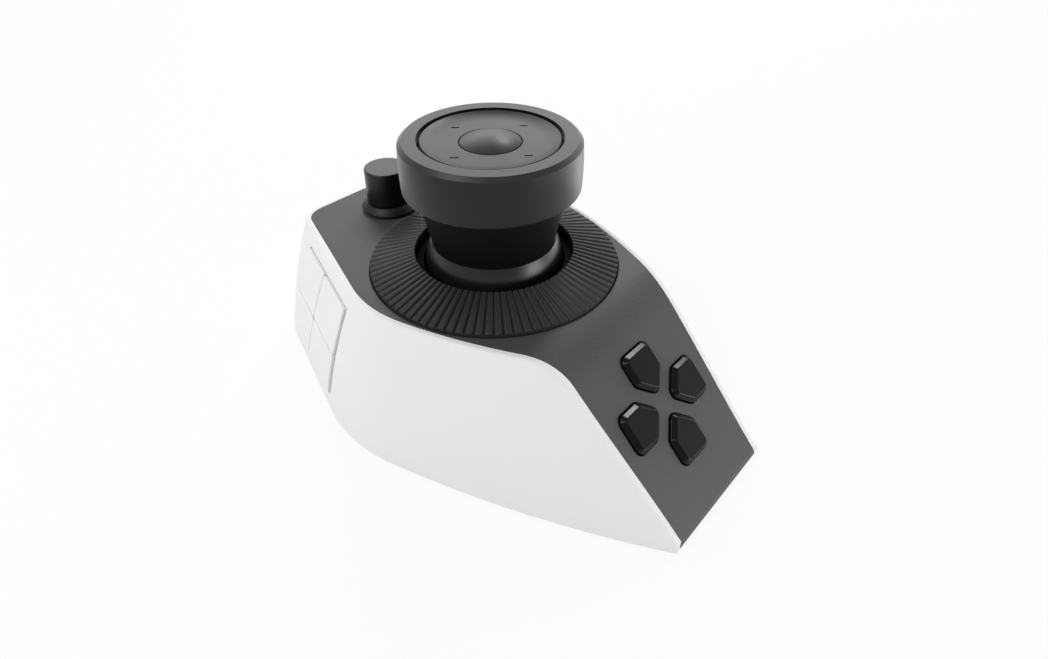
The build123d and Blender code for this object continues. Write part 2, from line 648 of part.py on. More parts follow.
def make_dial_magnet():
    """Magnet ring under the dial's skirt, read by the sensors on the carrier."""
    bore = JOURNAL_R + RUNNING_FIT
    return DIAL_AXIS * tube(bore + SKIRT_T, bore, SKIRT_FOOT_Z - MAGNET_RING_H, SKIRT_FOOT_Z)


def make_carrier():
    """Chassis under the dial: flange, journal, collar round the ball and four legs to the base."""
    carrier = tube(CARRIER_R, BALL_BORE_R, CARRIER_Z, CARRIER_TOP_Z)
    journal_top = dial_top(JOURNAL_R) - DIAL_T - MOVING_GAP
    carrier += tube(JOURNAL_R, JOURNAL_R - JOURNAL_T, CARRIER_TOP_Z, journal_top)
    carrier += tube(SOCKET_COLLAR_R, BALL_BORE_R, CARRIER_TOP_Z, SOCKET_COLLAR_Z)
    leg = tube(LEG_R, SCREW_R, BASE_TOP_Z, CARRIER_Z)
    return DIAL_AXIS * (carrier + [place * leg for place in LEG_PLACES])


def make_gimbal_base():
    """Plate under the carrier with two upright posts that hold the yoke."""
    plate = rod(GIMBAL_PLATE_R, CARRIER_Z - GIMBAL_PLATE_T, CARRIER_Z)
    for place in LEG_PLACES:
        plate -= place * rod(LEG_R + SEAT_GAP, 0, CARRIER_Z + OVERRUN)
    post_x = YOKE_R + POST_GAP + POST_T / 2
    post = slab(POST_T, POST_WIDTH, CARRIER_Z, PIVOT_Z + POST_TOP)
    plate += [Pos(side * post_x, 0, 0) * post for side in (-1, 1)]
    bore = Rot(0, 90, 0) * Cylinder(TRUNNION_R + RUNNING_FIT, 4 * GIMBAL_PLATE_R)
    return DIAL_AXIS * (plate - Pos(0, 0, PIVOT_Z) * bore)


def make_sensor_board():
    """Round sensor board below the stick's magnet."""
    return DIAL_AXIS * rod(SENSOR_BOARD_R, CARRIER_Z, CARRIER_Z + SENSOR_BOARD_T)


def make_yoke():
    """Gimbal ring with trunnions to the posts along X and bores for the stick along Y."""
    ring = Pos(0, 0, PIVOT_Z) * (Cylinder(YOKE_R, YOKE_H) - Cylinder(YOKE_BORE_R, YOKE_H))
    reach = YOKE_R + POST_GAP + POST_T
    trunnion = Rot(0, 90, 0) * extrude(Circle(TRUNNION_R), reach - YOKE_BORE_R)
    ring += Pos(YOKE_BORE_R, 0, PIVOT_Z) * trunnion
    ring += Pos(-reach, 0, PIVOT_Z) * trunnion
    ring -= Pos(0, 0, PIVOT_Z) * Rot(90, 0, 0) * Cylinder(TRUNNION_R + RUNNING_FIT, 4 * YOKE_R)
    ring -= Pos(0, 0, PIVOT_Z) * Cylinder(YOKE_BORE_R, 4 * YOKE_H)
    return DIAL_AXIS * ring


def make_stick():
    """Stick with a flange under the neck and trunnions along Y."""
    stick = rod(STICK_R, STICK_FOOT_Z, NECK_FOOT_Z)
    stick += rod(STICK_FLANGE_R, NECK_FOOT_Z - STICK_FLANGE_T, NECK_FOOT_Z)
    return DIAL_AXIS * (stick + Pos(0, 0, PIVOT_Z) * Rot(90, 0, 0) * Cylinder(TRUNNION_R, 2 * YOKE_R))


def make_stick_magnet():
    """Disc magnet on the foot of the stick."""
    return DIAL_AXIS * rod(STICK_MAGNET_R, STICK_FOOT_Z - STICK_MAGNET_H, STICK_FOOT_Z)


def make_ball():
    """Hollow ball skirt about the pivot, cut flat under the neck."""
    skirt = Sphere(BALL_R) - Sphere(BALL_R - BALL_T)
    band = rod(BALL_R + OVERRUN, BALL_FOOT_Z, NECK_FOOT_Z)
    return DIAL_AXIS * (Pos(0, 0, PIVOT_Z) * skirt & band)


def make_neck():
    """Neck that widens upwards, with the spindle that the cup turns on in a pocket for the cup's hub."""
    pocket_r = CUP_HUB_R + MOVING_GAP
    pocket_z = CUP_HUB_Z - MOVING_GAP
    cone = [(0, NECK_FOOT_Z), (NECK_FOOT_R, NECK_FOOT_Z), (NECK_FOOT_R + NECK_FLARE, NECK_TOP_Z)]
    pocket = [(pocket_r, NECK_TOP_Z), (pocket_r, pocket_z), (SPINDLE_R, pocket_z)]
    return DIAL_AXIS * turned_polygon(*cone, *pocket, (SPINDLE_R, SPINDLE_TOP_Z), (0, SPINDLE_TOP_Z))


def make_cup():
    """Turned drum: bevelled rim, bulging side, floor with a hub on the spindle and a round mouth."""
    belly_z = CUP_FOOT_Z + (CUP_TOP_Z - CUP_FOOT_Z) * CUP_BELLY_SHARE
    rim = (CUP_RIM_R, CUP_TOP_Z - CUP_BEVEL_H)
    foot = (CUP_FOOT_R, CUP_FOOT_Z)
    top = (CUP_RIM_R - CUP_BEVEL, CUP_TOP_Z)
    belly = ThreePointArc(rim, (CUP_BELLY_R, belly_z), foot)
    rest = Polyline(foot, (0, CUP_FOOT_Z), (0, CUP_TOP_Z), top, rim)
    cup = turned(belly, *rest.edges())
    cup = fillet(cup.edges().group_by(Axis.Z)[0], CUP_FOOT_ROUND)
    ceiling = CUP_TOP_Z - CUP_MOUTH_T
    cup -= rod(CUP_FOOT_R - CUP_WALL, CUP_FLOOR_Z, ceiling)
    cup -= rod(DISC_R + CUP_MOUTH_GAP, CUP_FLOOR_Z, CUP_TOP_Z + OVERRUN)
    cup += rod(CUP_HUB_R, CUP_HUB_Z, CUP_HUB_TOP_Z)
    return DIAL_AXIS * (cup - rod(SPINDLE_R + RUNNING_FIT, CUP_HUB_Z - OVERRUN, CUP_HUB_TOP_Z + OVERRUN))


def make_cap():
    """Spindle cap that keeps the cup on, with a tower for the button stem and the pivot ring."""
    cap = rod(CAP_R, SPINDLE_TOP_Z, CAP_TOP_Z) + rod(TOWER_R, CAP_TOP_Z, TOWER_TOP_Z)
    cap -= rod(BUTTON_STEM_R + RUNNING_FIT, CAP_TOP_Z, TOWER_TOP_Z + OVERRUN)
    bore = Rot(0, 90, 0) * Cylinder(ROCKER_PIN_R + RUNNING_FIT, 4 * TOWER_R)
    return DIAL_AXIS * (cap - Pos(0, 0, ROCKER_Z) * bore)


def make_top_board():
    """Ring-shaped switch board on the cap with four tall dome switches under the disc."""
    board = tube(CAP_R, TOWER_R + SEAT_GAP, CAP_TOP_Z, TOP_BOARD_Z)
    dome = rod(DOME_SWITCH_R, TOP_BOARD_Z, DISC_FLOOR_Z - DISC_T - DOME_SWITCH_GAP)
    return DIAL_AXIS * (board + [place * dome for place in PolarLocations(DOME_SWITCH_CIRCLE_R, 4)])


def make_rocker_ring():
    """Pivot ring of the rocking disc: pins inwards along X and outwards along Y."""
    ring = Cylinder(ROCKER_RING_R, ROCKER_RING_H) - Cylinder(ROCKER_RING_BORE_R, ROCKER_RING_H)
    ring = Pos(0, 0, ROCKER_Z) * ring
    middle_r = (ROCKER_RING_R + ROCKER_RING_BORE_R) / 2
    inner_foot = BUTTON_STEM_R + MOVING_GAP
    inner = extrude(Circle(ROCKER_PIN_R), middle_r - inner_foot)
    outer = extrude(Circle(ROCKER_PIN_R), DISC_BORE_R + LUG_T - middle_r)
    pins = [Rot(0, 0, turn) * Pos(inner_foot, 0, ROCKER_Z) * Rot(0, 90, 0) * inner for turn in (0, 180)]
    pins += [Rot(0, 0, turn) * Pos(middle_r, 0, ROCKER_Z) * Rot(0, 90, 0) * outer for turn in (90, 270)]
    return DIAL_AXIS * (ring + pins)


def make_disc():
    """Four-way disc: a level floor that curves up to its edge, a hole for the button and two lugs."""
    floor_end = (DISC_FLOOR_R, DISC_FLOOR_Z)
    edge = (DISC_R - DISC_EDGE, DISC_TOP_Z)
    curve = TangentArc(floor_end, edge, tangent=(1, 0))
    under = [(DISC_R, DISC_FLOOR_Z - DISC_T), (DISC_BORE_R, DISC_FLOOR_Z - DISC_T)]
    rest = Polyline(edge, (DISC_R, DISC_TOP_Z - DISC_EDGE), *under, (DISC_BORE_R, DISC_FLOOR_Z), floor_end)
    disc = turned(curve, *rest.edges())
    lug = slab(LUG_WIDTH, LUG_T, ROCKER_Z - LUG_DROP, DISC_FLOOR_Z - DISC_T / 2)
    lug_y = DISC_BORE_R + LUG_T / 2
    disc += [Pos(0, side * lug_y, 0) * lug for side in (-1, 1)]
    disc -= rod(DISC_BORE_R, ROCKER_Z - LUG_DROP - OVERRUN, CUP_TOP_Z)
    bore = Rot(90, 0, 0) * Cylinder(ROCKER_PIN_R + RUNNING_FIT, 4 * DISC_R)
    return DIAL_AXIS * (disc - Pos(0, 0, ROCKER_Z) * bore)


def make_button():
    """Domed centre button on a stem in the tower."""
    foot = BUTTON_EDGE_Z - BUTTON_SKIRT
    dome_r = (BUTTON_R * BUTTON_R + BUTTON_CROWN * BUTTON_CROWN) / (2 * BUTTON_CROWN)
    dome = Pos(0, 0, BUTTON_EDGE_Z + BUTTON_CROWN - dome_r) * Sphere(dome_r)
    button = dome & rod(BUTTON_R, foot, BUTTON_EDGE_Z + BUTTON_CROWN + OVERRUN)
    stem_foot = CAP_TOP_Z + BUTTON_TRAVEL + MOVING_GAP
    return DIAL_AXIS * (button + rod(BUTTON_STEM_R, stem_foot, foot))


def make_knob():
    """Small tapered knob with a softened top edge and a blind bore for the shaft."""
    side = [(KNOB_FOOT_R, KNOB_FOOT_Z), (KNOB_TOP_R, KNOB_TOP_Z)]
    knob = turned_polygon((0, KNOB_FOOT_Z), *side, (0, KNOB_TOP_Z))
    knob = fillet(knob.edges().group_by(Axis.Z)[-1], KNOB_EDGE)
    bore = rod(ENCODER_SHAFT_R + PRESS_FIT, KNOB_FOOT_Z - OVERRUN, KNOB_FOOT_Z + KNOB_BORE_DEPTH)
    return KNOB_AXIS * (knob - bore)


def make_collar():
    """Flared collar on the panel under the small knob, undercut at its foot."""
    edge_z = TOP_Z + COLLAR_UNDERCUT_H
    land = edge_z + COLLAR_LAND
    head = TOP_Z + COLLAR_H
    bore = BUSHING_R + SEAT_GAP
    flare = RadiusArc((COLLAR_R, land), (COLLAR_TOP_R, head), -2 * COLLAR_H)
    foot = [(bore, TOP_Z), (COLLAR_R - COLLAR_UNDERCUT, TOP_Z), (COLLAR_R, edge_z), (COLLAR_R, land)]
    rest = Polyline((COLLAR_TOP_R, head), (bore, head), *foot)
    collar = turned(flare, *rest.edges())
    outer = collar.edges().filter_by(lambda edge: edge.length > 2 * pi * (COLLAR_R - PRESS_FIT))
    return KNOB_AXIS * fillet(outer, COLLAR_ROUND)


def make_encoder():
    """Encoder body against the underside of the panel with a bushing through it."""
    body = slab(ENCODER_WIDTH, ENCODER_WIDTH, PANEL_UNDER_Z - ENCODER_H, PANEL_UNDER_Z, KNOB_EDGE)
    body += rod(BUSHING_R, PANEL_UNDER_Z, TOP_Z + BUSHING_RISE)
    bore = rod(ENCODER_SHAFT_R + RUNNING_FIT, PANEL_UNDER_Z - ENCODER_H / 2, TOP_Z + BUSHING_RISE + OVERRUN)
    return KNOB_AXIS * (body - bore)


def make_encoder_shaft():
    """Encoder shaft that carries the small knob."""
    foot = PANEL_UNDER_Z - ENCODER_H / 2 + MOVING_GAP
    return KNOB_AXIS * rod(ENCODER_SHAFT_R, foot, KNOB_FOOT_Z + KNOB_BORE_DEPTH - PRESS_FIT)


def make_pad_key(turn):
    """Thumb key: bevelled cap, a flange under the panel and a stem over its switch."""
    outline_shape = Rot(0, 0, turn) * pad_key_outline()
    cap = extrude(outline_shape, PAD_PROUD - PAD_FLANGE_Z)
    cap = Pos(0, 0, PAD_FLANGE_Z) * cap
    cap = chamfer(cap.edges().group_by(Axis.Z)[-1], PAD_BEVEL)
    cap = fillet(cap.edges().group_by(Axis.Z)[-1] + cap.edges().group_by(Axis.Z)[-3], PAD_ROUND)
    flange = Rot(0, 0, turn) * pad_key_outline(PAD_FLANGE, PAD_CORNER + PAD_FLANGE)
    cap += Pos(0, 0, PAD_FLANGE_Z - PAD_FLANGE_T) * extrude(flange, PAD_FLANGE_T)
    middle = Rot(0, 0, turn) * Pos(0, (PAD_TIP + PAD_END) / 2, 0)
    return PAD * (cap + middle * rod(PAD_STEM_R, PAD_STEM_Z, PAD_FLANGE_Z - PAD_FLANGE_T))


def make_pad_board():
    """Board of the thumb keys on the posts under the panel."""
    shape = RectangleRounded(2 * PAD_BOARD_HALF, 2 * PAD_BOARD_HALF, PAD_POST_R)
    return on_pad(shape, PAD_BOARD_Z - PAD_BOARD_T, PAD_BOARD_Z)


def make_pad_switches():
    """Four switches on the thumb key board."""
    body = Rectangle(PAD_SWITCH_WIDTH, PAD_SWITCH_WIDTH)
    places = [Rot(0, 0, turn) * Pos(0, (PAD_TIP + PAD_END) / 2, 0) for turn in PAD_TURNS.values()]
    return [on_pad(place * body, PAD_BOARD_Z, PAD_BOARD_Z + PAD_SWITCH_H) for place in places]


def make_finger_key(name):
    """Finger key: a slice of the crowned wall with a guided stem."""
    slice_of_wall = body_block(-KEY_PROUD) - body_block(KEY_T, foot=-OVERRUN)
    reach = WALL + OVERRUN
    cap = slice_of_wall & through_facet(key_cell(*KEY_CELLS[name], KEY_GAP / 2), -reach, reach)
    outer_face = cap.faces().sort_by(Axis(FACET.origin, FACET.z_dir))[0]
    cap = fillet(outer_face.edges(), KEY_EDGE)
    centre = KEY_CENTRES[name]
    stem = through_facet(Pos(centre.X, centre.Y) * Circle(KEY_STEM_R), 0, KEY_STEM_FOOT)
    return cap + (stem & body_block(0))


def make_key_frame():
    """Guide frame behind the finger keys: a plate with stem holes, a rim to the wall and board posts."""
    opening = key_cell(*KEY_WINDOW, -KEY_GAP - MOVING_GAP)
    around = key_cell(*KEY_WINDOW, -KEY_GAP - MOVING_GAP - KEY_FRAME_RIM, KEY_CORNER + KEY_FRAME_RIM)
    frame = through_facet(around, KEY_FRAME_BACK - KEY_FRAME_T, KEY_FRAME_BACK)
    frame += through_facet(around - opening, 0, KEY_FRAME_BACK)
    frame &= body_block(WALL + SEAT_GAP, foot=BASE_TOP_Z + SEAT_GAP) & under_top(PANEL_T + SEAT_GAP)
    for centre in KEY_CENTRES.values():
        hole = Pos(centre.X, centre.Y) * Circle(KEY_STEM_R + RUNNING_FIT * 2)
        frame -= through_facet(hole, 0, KEY_FRAME_BACK + OVERRUN)
    posts = Sketch() + key_posts() * Circle(KEY_POST_R)
    return frame + through_facet(posts, KEY_FRAME_BACK, KEY_SWITCH_TOP + KEY_SWITCH_H)


def key_posts():
    """Two posts between the columns of finger keys, one for each row."""
    lower = (KEY_CENTRES["finger_key_lower_front"] + KEY_CENTRES["finger_key_lower_rear"]) / 2
    upper = (KEY_CENTRES["finger_key_upper_front"] + KEY_CENTRES["finger_key_upper_rear"]) / 2
    return Locations((lower.X, lower.Y), (upper.X, upper.Y))


def make_key_board():
    """Board behind the finger keys, just large enough for their switches."""
    points = KEY_CENTRES.values()
    low_u = min(point.X for point in points) - KEY_SWITCH_WIDTH
    high_u = max(point.X for point in points) + KEY_SWITCH_WIDTH
    low_v = min(point.Y for point in points) - KEY_SWITCH_WIDTH
    high_v = max(point.Y for point in points) + KEY_SWITCH_WIDTH
    shape = RectangleRounded(high_u - low_u, high_v - low_v, KEY_CORNER)
    face = KEY_SWITCH_TOP + KEY_SWITCH_H
    return through_facet(Pos((low_u + high_u) / 2, (low_v + high_v) / 2) * shape, face, face + KEY_BOARD_T)


def make_key_switches():
    """Four switches on the finger key board."""
    body = Rectangle(KEY_SWITCH_WIDTH, KEY_SWITCH_WIDTH)
    back = KEY_SWITCH_TOP + KEY_SWITCH_H
    places = [Pos(point.X, point.Y) for point in KEY_CENTRES.values()]
    return [through_facet(place * body, KEY_SWITCH_TOP, back) for place in places]


def group(solids):
    """Several separate solids as one node."""
    return Compound(children=list(solids))


screw = make_screw()
nodes = {
    "side_shell": make_shell(),
    "top_panel": make_panel(),
    "base_plate": make_base(),
    "base_screws": group([place * screw for place in SCREW_PLACES]),
    "rubber_feet": group([place * make_foot() for place in FOOT_PLACES]),
    "main_board": make_board(),
    "battery_cell": make_battery(),
    "usb_socket": make_socket(),
    "dial_ring": make_dial(),
    "dial_magnet_ring": make_dial_magnet(),
    "dial_carrier": make_carrier(),
    "gimbal_base": make_gimbal_base(),
    "stick_sensor_board": make_sensor_board(),
    "gimbal_yoke": make_yoke(),
    "stick_shaft": make_stick(),
    "stick_magnet": make_stick_magnet(),
    "ball_skirt": make_ball(),
    "neck_spindle": make_neck(),
    "rotary_cup": make_cup(),
    "spindle_cap": make_cap(),
    "top_switch_board": make_top_board(),
    "rocker_ring": make_rocker_ring(),
    "four_way_disc": make_disc(),
    "centre_button": make_button(),
    "small_knob": make_knob(),
    "knob_collar": make_collar(),
    "encoder_body": make_encoder(),
    "encoder_shaft": make_encoder_shaft(),
    "thumb_key_board": make_pad_board(),
    "thumb_key_switches": group(make_pad_switches()),
    "finger_key_frame": make_key_frame(),
    "finger_key_board": make_key_board(),
    "finger_key_switches": group(make_key_switches()),
}
nodes.update({name: make_pad_key(turn) for name, turn in PAD_TURNS.items()})
nodes.update({name: make_finger_key(name) for name in KEY_CELLS})

os.makedirs("parts", exist_ok=True)
for name, shape in nodes.items():
    export_step(shape, f"parts/{name}.step")
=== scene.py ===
"""Looks of an editing console: finishes for its mouldings, its ribbed dial and small parts, and a studio."""
from math import cos, pi, radians, sin
from typing import NamedTuple

import bmesh
import bpy
from bpy.props import FloatProperty, FloatVectorProperty, IntProperty, PointerProperty
from bpy.types import Operator, Panel, PropertyGroup
from mathutils import Euler, Matrix, Vector


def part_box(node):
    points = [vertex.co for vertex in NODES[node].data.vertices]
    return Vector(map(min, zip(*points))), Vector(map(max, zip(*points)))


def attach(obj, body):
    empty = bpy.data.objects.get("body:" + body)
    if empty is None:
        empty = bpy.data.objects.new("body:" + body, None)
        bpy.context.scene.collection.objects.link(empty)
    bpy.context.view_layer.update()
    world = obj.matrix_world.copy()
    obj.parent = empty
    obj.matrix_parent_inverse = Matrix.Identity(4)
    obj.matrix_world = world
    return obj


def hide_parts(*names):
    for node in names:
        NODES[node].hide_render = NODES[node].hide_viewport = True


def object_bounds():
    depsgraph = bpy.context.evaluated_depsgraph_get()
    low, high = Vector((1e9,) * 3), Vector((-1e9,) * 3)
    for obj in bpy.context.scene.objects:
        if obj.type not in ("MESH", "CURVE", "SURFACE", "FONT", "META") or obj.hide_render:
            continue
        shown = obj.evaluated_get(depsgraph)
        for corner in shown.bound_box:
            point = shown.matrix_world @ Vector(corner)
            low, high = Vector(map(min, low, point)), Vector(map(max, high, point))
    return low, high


bl_info = {
    "name": "Editing Console",
    "version": (1, 0, 0),
    "blender": (4, 5, 0),
    "location": "3D View > Sidebar > Console",
    "description": "Dresses an editing console with a joystick, a ribbed dial and keys",
    "category": "Object",
}

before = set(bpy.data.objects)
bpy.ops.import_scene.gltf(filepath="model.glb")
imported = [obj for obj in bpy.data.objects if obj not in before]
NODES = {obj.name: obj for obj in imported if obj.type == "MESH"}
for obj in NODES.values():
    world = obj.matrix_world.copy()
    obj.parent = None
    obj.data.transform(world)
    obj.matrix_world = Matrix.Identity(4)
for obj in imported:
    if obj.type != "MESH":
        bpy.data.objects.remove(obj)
CAD_LOW, CAD_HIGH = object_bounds()
MM = 0.001

# Places read from the frame
DIAL_LOW, DIAL_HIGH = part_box("dial_ring")
DIAL_CENTRE = (DIAL_LOW + DIAL_HIGH) / 2
DIAL_RADIUS = (DIAL_HIGH.x - DIAL_LOW.x) / 2
DISC_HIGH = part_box("four_way_disc")[1]
CUP_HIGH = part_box("rotary_cup")[1]
PANEL_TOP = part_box("top_panel")[1].z

# Radii, and depths below the cup's mouth, over which the painted paler colour of its bevel, standing in for
# light on it, sets in
CUP_BEVEL_RADII = (24.15 * MM, 24.35 * MM)
CUP_BEVEL_DROPS = (1.2 * MM, 1.0 * MM)
# Depths below a rib's crest, as shares of the groove's depth, over which the crest's polish and painted light
# set in
CREST_FADE = (0.45, 0.02)
# Factors on the dial's base colour: the ribs' crests painted paler as painted light, the grooves painted
# darker as painted shade
CREST_PAINTED_LIGHT = 2.0
GROOVE_PAINTED_SHADE = 1.3
# Size of the soft clouds in a moulded finish
CLOUD_SIZE = 18 * MM
# Points of a mesh closer than this become one
MERGE_DISTANCE = 0.001 * MM
# Points of the screws' node closer than this in plan belong to one screw
SCREW_SPAN = 6.0 * MM
# Rounding of a direction mark's ends, as a share of its width
MARK_ROUNDING = 0.48
# Edges with a greater angle than this stay sharp
SHARP_ANGLE = radians(32)
WHITE = (1.0, 1.0, 1.0)


def colour(name, description, default):
    """Colour property of a finish, as linear red, green and blue."""
    return FloatVectorProperty(name=name, description=description, default=default, size=3, subtype="COLOR")


def length(name, description, default):
    """Length property, given in millimetres and kept in metres."""
    return FloatProperty(name=name, description=description, default=default * MM, unit="LENGTH")


def angle(name, description, default):
    """Angle property, given in degrees and kept in radians."""
    return FloatProperty(name=name, description=description, default=radians(default), subtype="ANGLE")


def power(name, description, default):
    """Power property of a lamp, in watts."""
    return FloatProperty(name=name, description=description, default=default, unit="POWER")


class ConsoleColours(PropertyGroup):
    """Base colours of the console's finishes."""
    shell: colour("Shell", "White moulding of the side shell and finger keys", (0.86, 0.86, 0.845))
    panel: colour("Panel", "Grained charcoal moulding of the saddle panel", (0.05, 0.05, 0.0488))
    grip: colour("Grip", "Soft-touch grey of the cup and disc", (0.006, 0.006, 0.0058))
    button: colour("Button", "Grey of the domed button", (0.03, 0.03, 0.0294))
    # Painted highlight: this paler grey on the cup's bevel stands in for light falling on it
    rim: colour("Cup rim", "Grey of the cup's bevel, rubbed paler by hands", (0.026, 0.026, 0.0255))
    dial: colour("Dial", "Black moulding of the ribbed dial", (0.0135, 0.0131, 0.0127))
    neck: colour("Neck", "Near-black moulding of the stick's neck", (0.004, 0.004, 0.0038))
    ball: colour("Ball", "Satin black of the ball skirt", (0.006, 0.006, 0.0058))
    knob: colour("Knob", "Matt black of the small knob", (0.002, 0.002, 0.0019))
    key: colour("Thumb key", "Glossy black of the thumb keys", (0.006, 0.0055, 0.005))
    rubber: colour("Rubber", "Soft rubber of the feet", (0.02, 0.02, 0.02))
    base: colour("Base", "Grained black of the base plate", (0.022, 0.022, 0.022))
    inner: colour("Inner mouldings", "Plain black of the pieces inside", (0.03, 0.03, 0.03))
    # Painted shade: a deeper black than the plastic has, for the shade in the gap round the joystick
    gap_shade: colour("Well", "Deep black of the chassis round the joystick", (0.002, 0.002, 0.002))
    board: colour("Circuit boards", "Green lacquer of the boards", (0.012, 0.1, 0.045))
    steel: colour("Steel", "Plated steel of the screws, shaft and socket", (0.62, 0.61, 0.59))
    foil: colour("Cell foil", "Aluminium foil of the battery pouch", (0.56, 0.57, 0.58))
    magnet: colour("Magnet", "Dark bonded magnet", (0.05, 0.05, 0.052))
    mark: colour("Marks", "Dark fill of the direction marks", (0.003, 0.003, 0.003))


class DialSizes(PropertyGroup):
    """Sizes of the ribbed dial that aren't in its box."""
    ribs: IntProperty(name="Ribs", description="Ribs round the dial", default=88, min=12)
    bore: length("Bore radius", "Radius of the dial's bore", 24.1)
    rim_rise: length("Rim rise", "Height of the cone's rim above the panel", 1.2)
    groove: length("Groove", "Width of the vee groove between two ribs", 1.1)
    depth: length("Depth", "Depth of the grooves", 0.65)
    crest: length("Crest", "Rounding of the ribs' edges", 0.16)
    thickness: length("Thickness", "Wall of the cone", 2.2)
    sink: length("Sink", "How far the lip reaches below the panel's top", 1.4)
    lip: length("Lip", "Width of the turned-down lip", 1.5)
    skirt_bore: length("Skirt bore", "Inner radius of the skirt on the journal", 30.05)
    skirt: length("Skirt", "Wall of the skirt", 1.9)


class ScrewSizes(PropertyGroup):
    """Sizes of the screws in the base plate."""
    head: length("Head radius", "Radius of the head", 2.4)
    head_height: length("Head height", "Height of the head", 1.3)
    shank: length("Shank radius", "Radius of the shank", 1.2)
    edge: length("Edge", "Rounding of the head's edge and of the tip", 0.3)
    arm: length("Arm", "Length of an arm of the cross recess", 1.4)
    slot: length("Slot", "Width of an arm of the cross recess", 0.6)
    depth: length("Depth", "Depth of the cross recess", 0.8)
    taper: FloatProperty(name="Taper", description="Size of the recess's floor against its mouth",
                         default=0.7)
    facets: IntProperty(name="Facets", description="Facets round a screw", default=32, min=8)


class MarkSizes(PropertyGroup):
    """Sizes of the direction marks on the disc."""
    reach: length("Reach", "Distance of a mark from the disc's middle", 13.8)
    run: length("Run", "Length of a mark", 2.4)
    width: length("Width", "Width of a mark", 0.55)
    dish: length("Dish", "How far the disc's floor lies below its edge", 1.05)
    proud: length("Proud", "How far a mark stands above the disc", 0.03)
    sunk: length("Sunk", "How far a mark goes into the disc", 0.2)
    heading: angle("Heading", "Turn of every mark about the vertical", -47)


class StageSettings(PropertyGroup):
    """Camera, floor and light of the studio."""
    lens: FloatProperty(name="Lens", description="Focal length in millimetres", default=22.7, unit="CAMERA")
    place: FloatVectorProperty(name="Camera", description="Place of the camera", size=3, subtype="XYZ",
                               unit="LENGTH", default=(-0.123, -0.1175, 0.1585))
    pitch: angle("Pitch", "Camera's angle below the horizon", 39.71)
    heading: angle("Heading", "Camera's turn about the vertical", -48.75)
    floor: colour("Floor", "Pale floor", (0.9, 0.9, 0.9))
    floor_glow: FloatProperty(name="Floor glow", description="Share of the floor that is seen as plain white",
                              subtype="FACTOR", default=0.88)
    ambient: FloatProperty(name="Ambient", description="Strength of the light from all round", default=0.33)
    back_softbox: power("Back softbox", "Large lamp behind", 4.6)
    small_lamp: power("Small lamp", "Small lamp behind, on the right", 0.9)
    left_softbox: power("Left softbox", "Lamp on the left", 4.4)
    right_softbox: power("Right softbox", "Lamp on the right", 0.95)
    floor_card: power("Floor card", "Lit card on the floor, on the right", 0.88)
    front_card: power("Front card", "Lit card that stands in front", 1.2)


class Wire:
    """One value in a finish; arithmetic on it adds Math nodes."""

    def __init__(self, graph, socket):
        self.graph = graph
        self.socket = socket

    def math(self, operation, *values):
        return self.graph.node("ShaderNodeMath", {"operation": operation}, dict(enumerate(values)))

    def __add__(self, other):
        return self.math("ADD", self, other)

    def __sub__(self, other):
        return self.math("SUBTRACT", self, other)

    def __rsub__(self, other):
        return self.math("SUBTRACT", other, self)

    def __mul__(self, other):
        return self.math("MULTIPLY", self, other)

    def __truediv__(self, other):
        return self.math("DIVIDE", self, other)

    def __pow__(self, other):
        return self.math("POWER", self, other)

    __radd__ = __add__
    __rmul__ = __mul__


class Graph:
    """A node tree that is built from node types, settings and sockets."""

    def __init__(self, tree):
        self.tree = tree

    def node(self, kind, settings=None, sockets=None, output=0):
        """Adds one node, settings first, then the values or links of its sockets; gives one output."""
        made = self.tree.nodes.new(kind)
        for key, value in (settings or {}).items():
            setattr(made, key, value)
        for key, value in (sockets or {}).items():
            self.feed(made.inputs[key], value)
        return Wire(self, made.outputs[output])

    def step(self, value, first, last):
        """Smooth rise from 0 to 1 between two values."""
        return self.node("ShaderNodeMapRange", {"interpolation_type": "SMOOTHSTEP"},
                         {"Value": value, "From Min": first, "From Max": last})

    def feed(self, socket, value):
        """Links a wire to a socket, or sets the socket's own value."""
        if isinstance(value, Wire):
            self.tree.links.new(value.socket, socket)
        elif socket.type == "RGBA":
            socket.default_value = (*value, 1.0)
        else:
            socket.default_value = value


class Finish(Graph):
    """A procedural material on Object coordinates."""

    def __init__(self, name):
        self.material = bpy.data.materials.new(name)
        self.material.use_nodes = True
        super().__init__(self.material.node_tree)
        self.shader = self.tree.nodes["Principled BSDF"]
        self.place = self.node("ShaderNodeTexCoord", output="Object")

    def set(self, sockets):
        """Sets or links sockets of the surface shader."""
        for key, value in sockets.items():
            self.feed(self.shader.inputs[key], value)

    def grain(self, size, detail=2.0, stretch=(1, 1, 1)):
        """Noise from 0 to 1 with grains of a size in metres, drawn out along the axes."""
        place = self.node("ShaderNodeMapping", None, {"Vector": self.place, "Scale": stretch})
        sockets = {"Vector": place, "Scale": 1 / size, "Detail": detail}
        return self.node("ShaderNodeTexNoise", {"noise_dimensions": "3D"}, sockets)

    def pits(self, size):
        """Distance to the nearest of a field of points, for a spark-eroded grain."""
        return self.node("ShaderNodeTexVoronoi", {"feature": "F1"}, {"Vector": self.place, "Scale": 1 / size})

    def axis(self, number):
        """One coordinate of the place on the surface."""
        return self.node("ShaderNodeSeparateXYZ", None, {"Vector": self.place}, number)

    def radius(self, centre):
        """Distance from an upright axis."""
        east = self.axis(0) - centre.x
        north = self.axis(1) - centre.y
        return (east * east + north * north) ** 0.5

    def blend(self, share, first, second):
        """Colour between two colours."""
        return self.node("ShaderNodeMix", {"data_type": "RGBA"}, {0: share, 6: first, 7: second}, 2)

    def shades(self, base, share, spread):
        """Base colour made darker and lighter by a share of itself."""
        return self.blend(share, tinted(base, 1 - spread), tinted(base, 1 + spread))

    def bump(self, height, depth):
        """Normal of a surface whose height runs over a depth in metres."""
        return self.node("ShaderNodeBump", None, {"Strength": 1.0, "Distance": depth, "Height": height})


